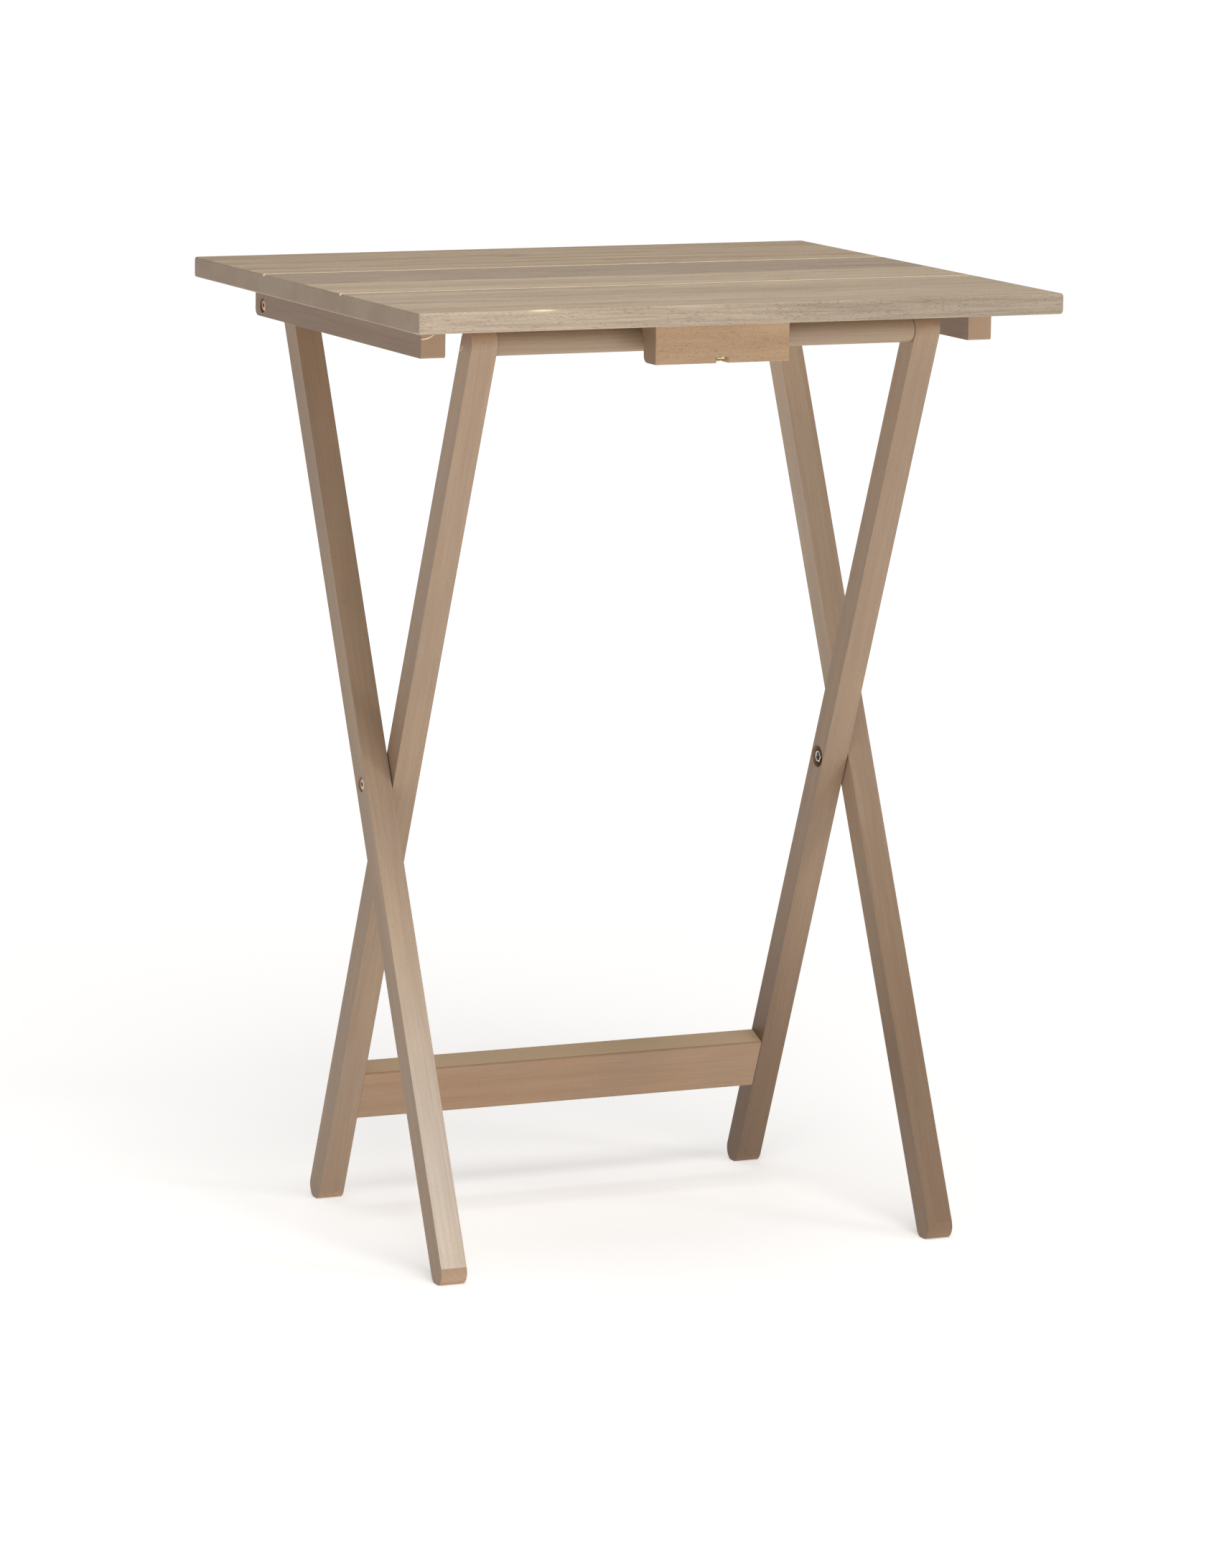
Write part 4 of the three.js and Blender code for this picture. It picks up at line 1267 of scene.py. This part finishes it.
washerSizes = {"Radius": 0.006, "Bore": 0.0027, "Thickness": 0.001}


def makeWasherTree():
    tree, given, put = geometryTree("flatWasher", washerSizes)
    t = tree
    radius, bore, thick = given["Radius"], given["Bore"], given["Thickness"]
    ease = times(t, thick, 0.18)
    solid = turned(t, [
        (plus(t, bore, ease), 0.0), (minus(t, radius, ease), 0.0), (radius, ease),
        (radius, minus(t, thick, ease)), (minus(t, radius, ease), thick),
        (plus(t, bore, ease), thick), (bore, minus(t, thick, ease)), (bore, ease),
        (plus(t, bore, ease), 0.0),
    ], 56)
    setOut(t, given, put, solid, seed=3, maxSpin=1.0)
    return tree


# A wood screw with a crossed recess. Z = 0 is the top of the head, and the shank goes down.
screwSizes = {
    "Head Radius": 0.0036, "Head Height": 0.003, "Land": 0.0009, "Dome": 0.0, "Shank Radius": 0.00175,
    "Length": 0.024, "Tip": 0.0035, "Recess": 0.0021, "Recess Depth": 0.0014,
}


def makeScrewTree():
    tree, given, put = geometryTree("woodScrew", screwSizes)
    t = tree
    head, shank = given["Head Radius"], given["Shank Radius"]
    rim = times(t, given["Dome"], -1.0)
    land = minus(t, rim, given["Land"])
    seat = times(t, given["Head Height"], -1.0)
    end = times(t, given["Length"], -1.0)
    tip = plus(t, end, given["Tip"])
    solid = turned(t, [
        (0.0, end), (shank, tip), (shank, seat), (head, land),
        (head, minus(t, rim, times(t, given["Land"], 0.25))),
        (times(t, head, 0.93), rim),
        (times(t, head, 0.62), times(t, rim, 0.3)),
        (times(t, head, 0.3), 0.0), (0.0, 0.0),
    ], 40)
    arm = times(t, given["Recess"], 2.0)
    slim = times(t, given["Recess"], 0.42)
    deep = times(t, given["Recess Depth"], 2.0)
    bars = []
    for size in ((arm, slim), (slim, arm)):
        extent = addNode(t, "ShaderNodeCombineXYZ", {}, {"X": size[0], "Y": size[1], "Z": deep}).outputs[0]
        bars.append(addNode(t, "GeometryNodeMeshCube", {}, {"Size": extent}).outputs["Mesh"])
    setOut(t, given, put, carve(t, solid, bars), seed=17, maxSpin=1.5)
    return tree


boltTree = makeBoltTree()
nutTree = makeNutTree()
washerTree = makeWasherTree()
screwTree = makeScrewTree()


def outward(side):
    return Vector((-1, 0, 0)) if side == "left" else Vector((1, 0, 0))


# The end of a node's box that lies furthest along a direction, on its axis.
def faceOf(node, direction):
    low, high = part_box(node)
    middle = (low + high) / 2
    reach = (high - low) / 2
    return middle + Vector([direction[i] * reach[i] for i in range(3)])


boltShorter = 0.0014  # the shank's end sits well inside its nut


def makePivotSet(prefix, title, body):
    low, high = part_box(f"{prefix}_bolt_left")
    headHeight = boltSizes["Head Height"]
    lengths = {**boltSizes, "Shank Length": (high.x - low.x) - headHeight - boltShorter}
    kinds = [  # piece, tree, sizes, finish, slot, which way it faces, how far its seat is inside its end
        ("bolt", boltTree, lengths, boltBronze, "bolt_bronze", 1, headHeight),
        ("nut", nutTree, nutSizes, zincSteel, "zinc_steel", -1, 0.0),
        ("washer", washerTree, washerSizes, zincSteel, "zinc_steel", -1, 0.0),
    ]
    for kind, tree, sizes, finish, slot, facing, seat in kinds:
        nodes = [f"{prefix}_{kind}_{side}" for side in ("left", "right")]
        aims = [outward(side) for side in ("left", "right")]
        points = [(faceOf(node, aim) - aim * seat, aim * facing) for node, aim in zip(nodes, aims)]
        takePlace(runTree(f"{title}{kind.capitalize()}s", tree, points, sizes, finish), nodes, body)


makePivotSet("rear_pivot", "rearPivot", "rear_pivots")
makePivotSet("middle_pivot", "middlePivot", "outer_legs")

spacerNames = ["leg_spacer_left", "leg_spacer_right"]
spacerPoints = [(faceOf(n, Vector((-1, 0, 0))), Vector((1, 0, 0))) for n in spacerNames]
spacerSizes = {**washerSizes, "Thickness": 0.0006}
spacers = runTree("legSpacers", washerTree, spacerPoints, spacerSizes, zincSteel)
takePlace(spacers, spacerNames, "outer_legs")


def makeScrews(name, nodes, sizes):
    down = Vector((0, 0, -1))
    low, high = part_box(nodes[0])
    sizes = {**sizes, "Length": high.z - low.z}
    points = [(faceOf(n, down), down) for n in nodes]
    screws = runTree(name, screwTree, points, sizes, zincSteel)
    takePlace(screws, nodes, "top")


railScrewNames = [f"rail_screw_{side}_{i}" for side in ("left", "right") for i in (1, 2, 3)]
makeScrews("railScrews", railScrewNames, screwSizes)
makeScrews("blockScrews", ["latch_block_screw_1", "latch_block_screw_2"], screwSizes)
makeScrews("stripScrew", ["latch_spring_screw"], {
    **screwSizes, "Head Radius": 0.0026, "Head Height": 0.0018, "Land": 0.0005, "Dome": 0.0008,
    "Shank Radius": 0.0014, "Tip": 0.0028, "Recess": 0.0013, "Recess Depth": 0.0009,
})
print("hardware made")


# Floor, light and camera.
floorLook = {
    "halfWidth": 40.0, "tone": 0.9, "roughness": 0.9,
    "glowNear": 0.46, "glowFar": 0.92, "glowFrom": 0.7, "glowTo": 3.0,
}


# The floor glows more with distance, so that it stays pale behind the table.
def makeFloor():
    mesh = bpy.data.meshes.new("studioFloor")
    half = floorLook["halfWidth"]
    corners = [(-half, -half, 0), (half, -half, 0), (half, half, 0), (-half, half, 0)]
    mesh.from_pydata(corners, [], [(0, 1, 2, 3)])
    floor = bpy.data.objects.new("studioFloor", mesh)
    scene.collection.objects.link(floor)
    material = bpy.data.materials.new("paleFloor")
    material.use_nodes = True
    t = material.node_tree
    surface = t.nodes["Principled BSDF"]
    surface.inputs["Base Color"].default_value = (*[floorLook["tone"]] * 3, 1)
    surface.inputs["Roughness"].default_value = floorLook["roughness"]
    spot = addNode(t, "ShaderNodeTexCoord").outputs["Object"]
    away = ramp(t, vectorCalc(t, "LENGTH", spot, (0, 0, 0)), floorLook["glowFrom"], floorLook["glowTo"])
    near, far = ((*[floorLook[key]] * 3, 1) for key in ("glowNear", "glowFar"))
    feed(t, surface.inputs["Emission Color"], blendColor(t, away, near, far))
    surface.inputs["Emission Strength"].default_value = 1.0
    mesh.materials.append(material)


makeFloor()

studio = {
    "worldStrength": 0.1,
    "lights": {
        "keySoftbox": {"at": (2.3, -2.7, 1.0), "size": 0.8, "power": 21.0, "color": (1.0, 0.98, 0.95)},
        "frontOverhead": {"at": (-0.3, -1.6, 2.9), "size": 1.6, "power": 44.0, "color": (1.0, 0.98, 0.95)},
        "topOverhead": {"at": (0.0, 0.2, 3.1), "size": 2.0, "power": 35.0, "color": (1.0, 0.98, 0.955)},
        "leftFill": {"at": (-3.2, -0.3, 1.0), "size": 2.0, "power": 3.0, "color": (1.0, 0.985, 0.965)},
    },
    "aim": (0.0, 0.0, 0.42),
}


def makeLight(name, look):
    data = bpy.data.lights.new(name, "AREA")
    data.shape = "SQUARE"
    data.size = look["size"]
    data.energy = look["power"]
    data.color = look["color"]
    light = bpy.data.objects.new(name, data)
    light.location = look["at"]
    light.rotation_euler = (Vector(studio["aim"]) - Vector(look["at"])).to_track_quat("-Z", "Y").to_euler()
    scene.collection.objects.link(light)


for lightName, lightLook in studio["lights"].items():
    makeLight(lightName, lightLook)

world = bpy.data.worlds.new("studioWorld")
world.use_nodes = True
world.node_tree.nodes["Background"].inputs["Color"].default_value = (1.0, 0.99, 0.975, 1)
world.node_tree.nodes["Background"].inputs["Strength"].default_value = studio["worldStrength"]
scene.world = world
scene.view_settings.view_transform = "Standard"
scene.view_settings.look = "None"

viewpoint = {
    "place": (-1.98927, -4.28193, 1.13095),
    "right": (0.9083902, -0.4178247, 0.0158042),
    "up": (0.0572897, 0.1618165, 0.9851565),
    "back": (-0.4141801, -0.8940011, 0.1709296),
    "lens": 200.8,
}


def makeCamera():
    data = bpy.data.cameras.new("camera")
    data.sensor_fit = "HORIZONTAL"
    data.sensor_width = 36.0
    data.lens = viewpoint["lens"]
    data.clip_end = 200.0
    camera = bpy.data.objects.new("camera", data)
    columns = [viewpoint["right"], viewpoint["up"], viewpoint["back"], viewpoint["place"]]
    camera.matrix_world = Matrix([[columns[c][r] for c in range(4)] for r in range(3)] + [[0, 0, 0, 1]])
    scene.collection.objects.link(camera)
    scene.camera = camera


makeCamera()
print("floor, light and camera set")
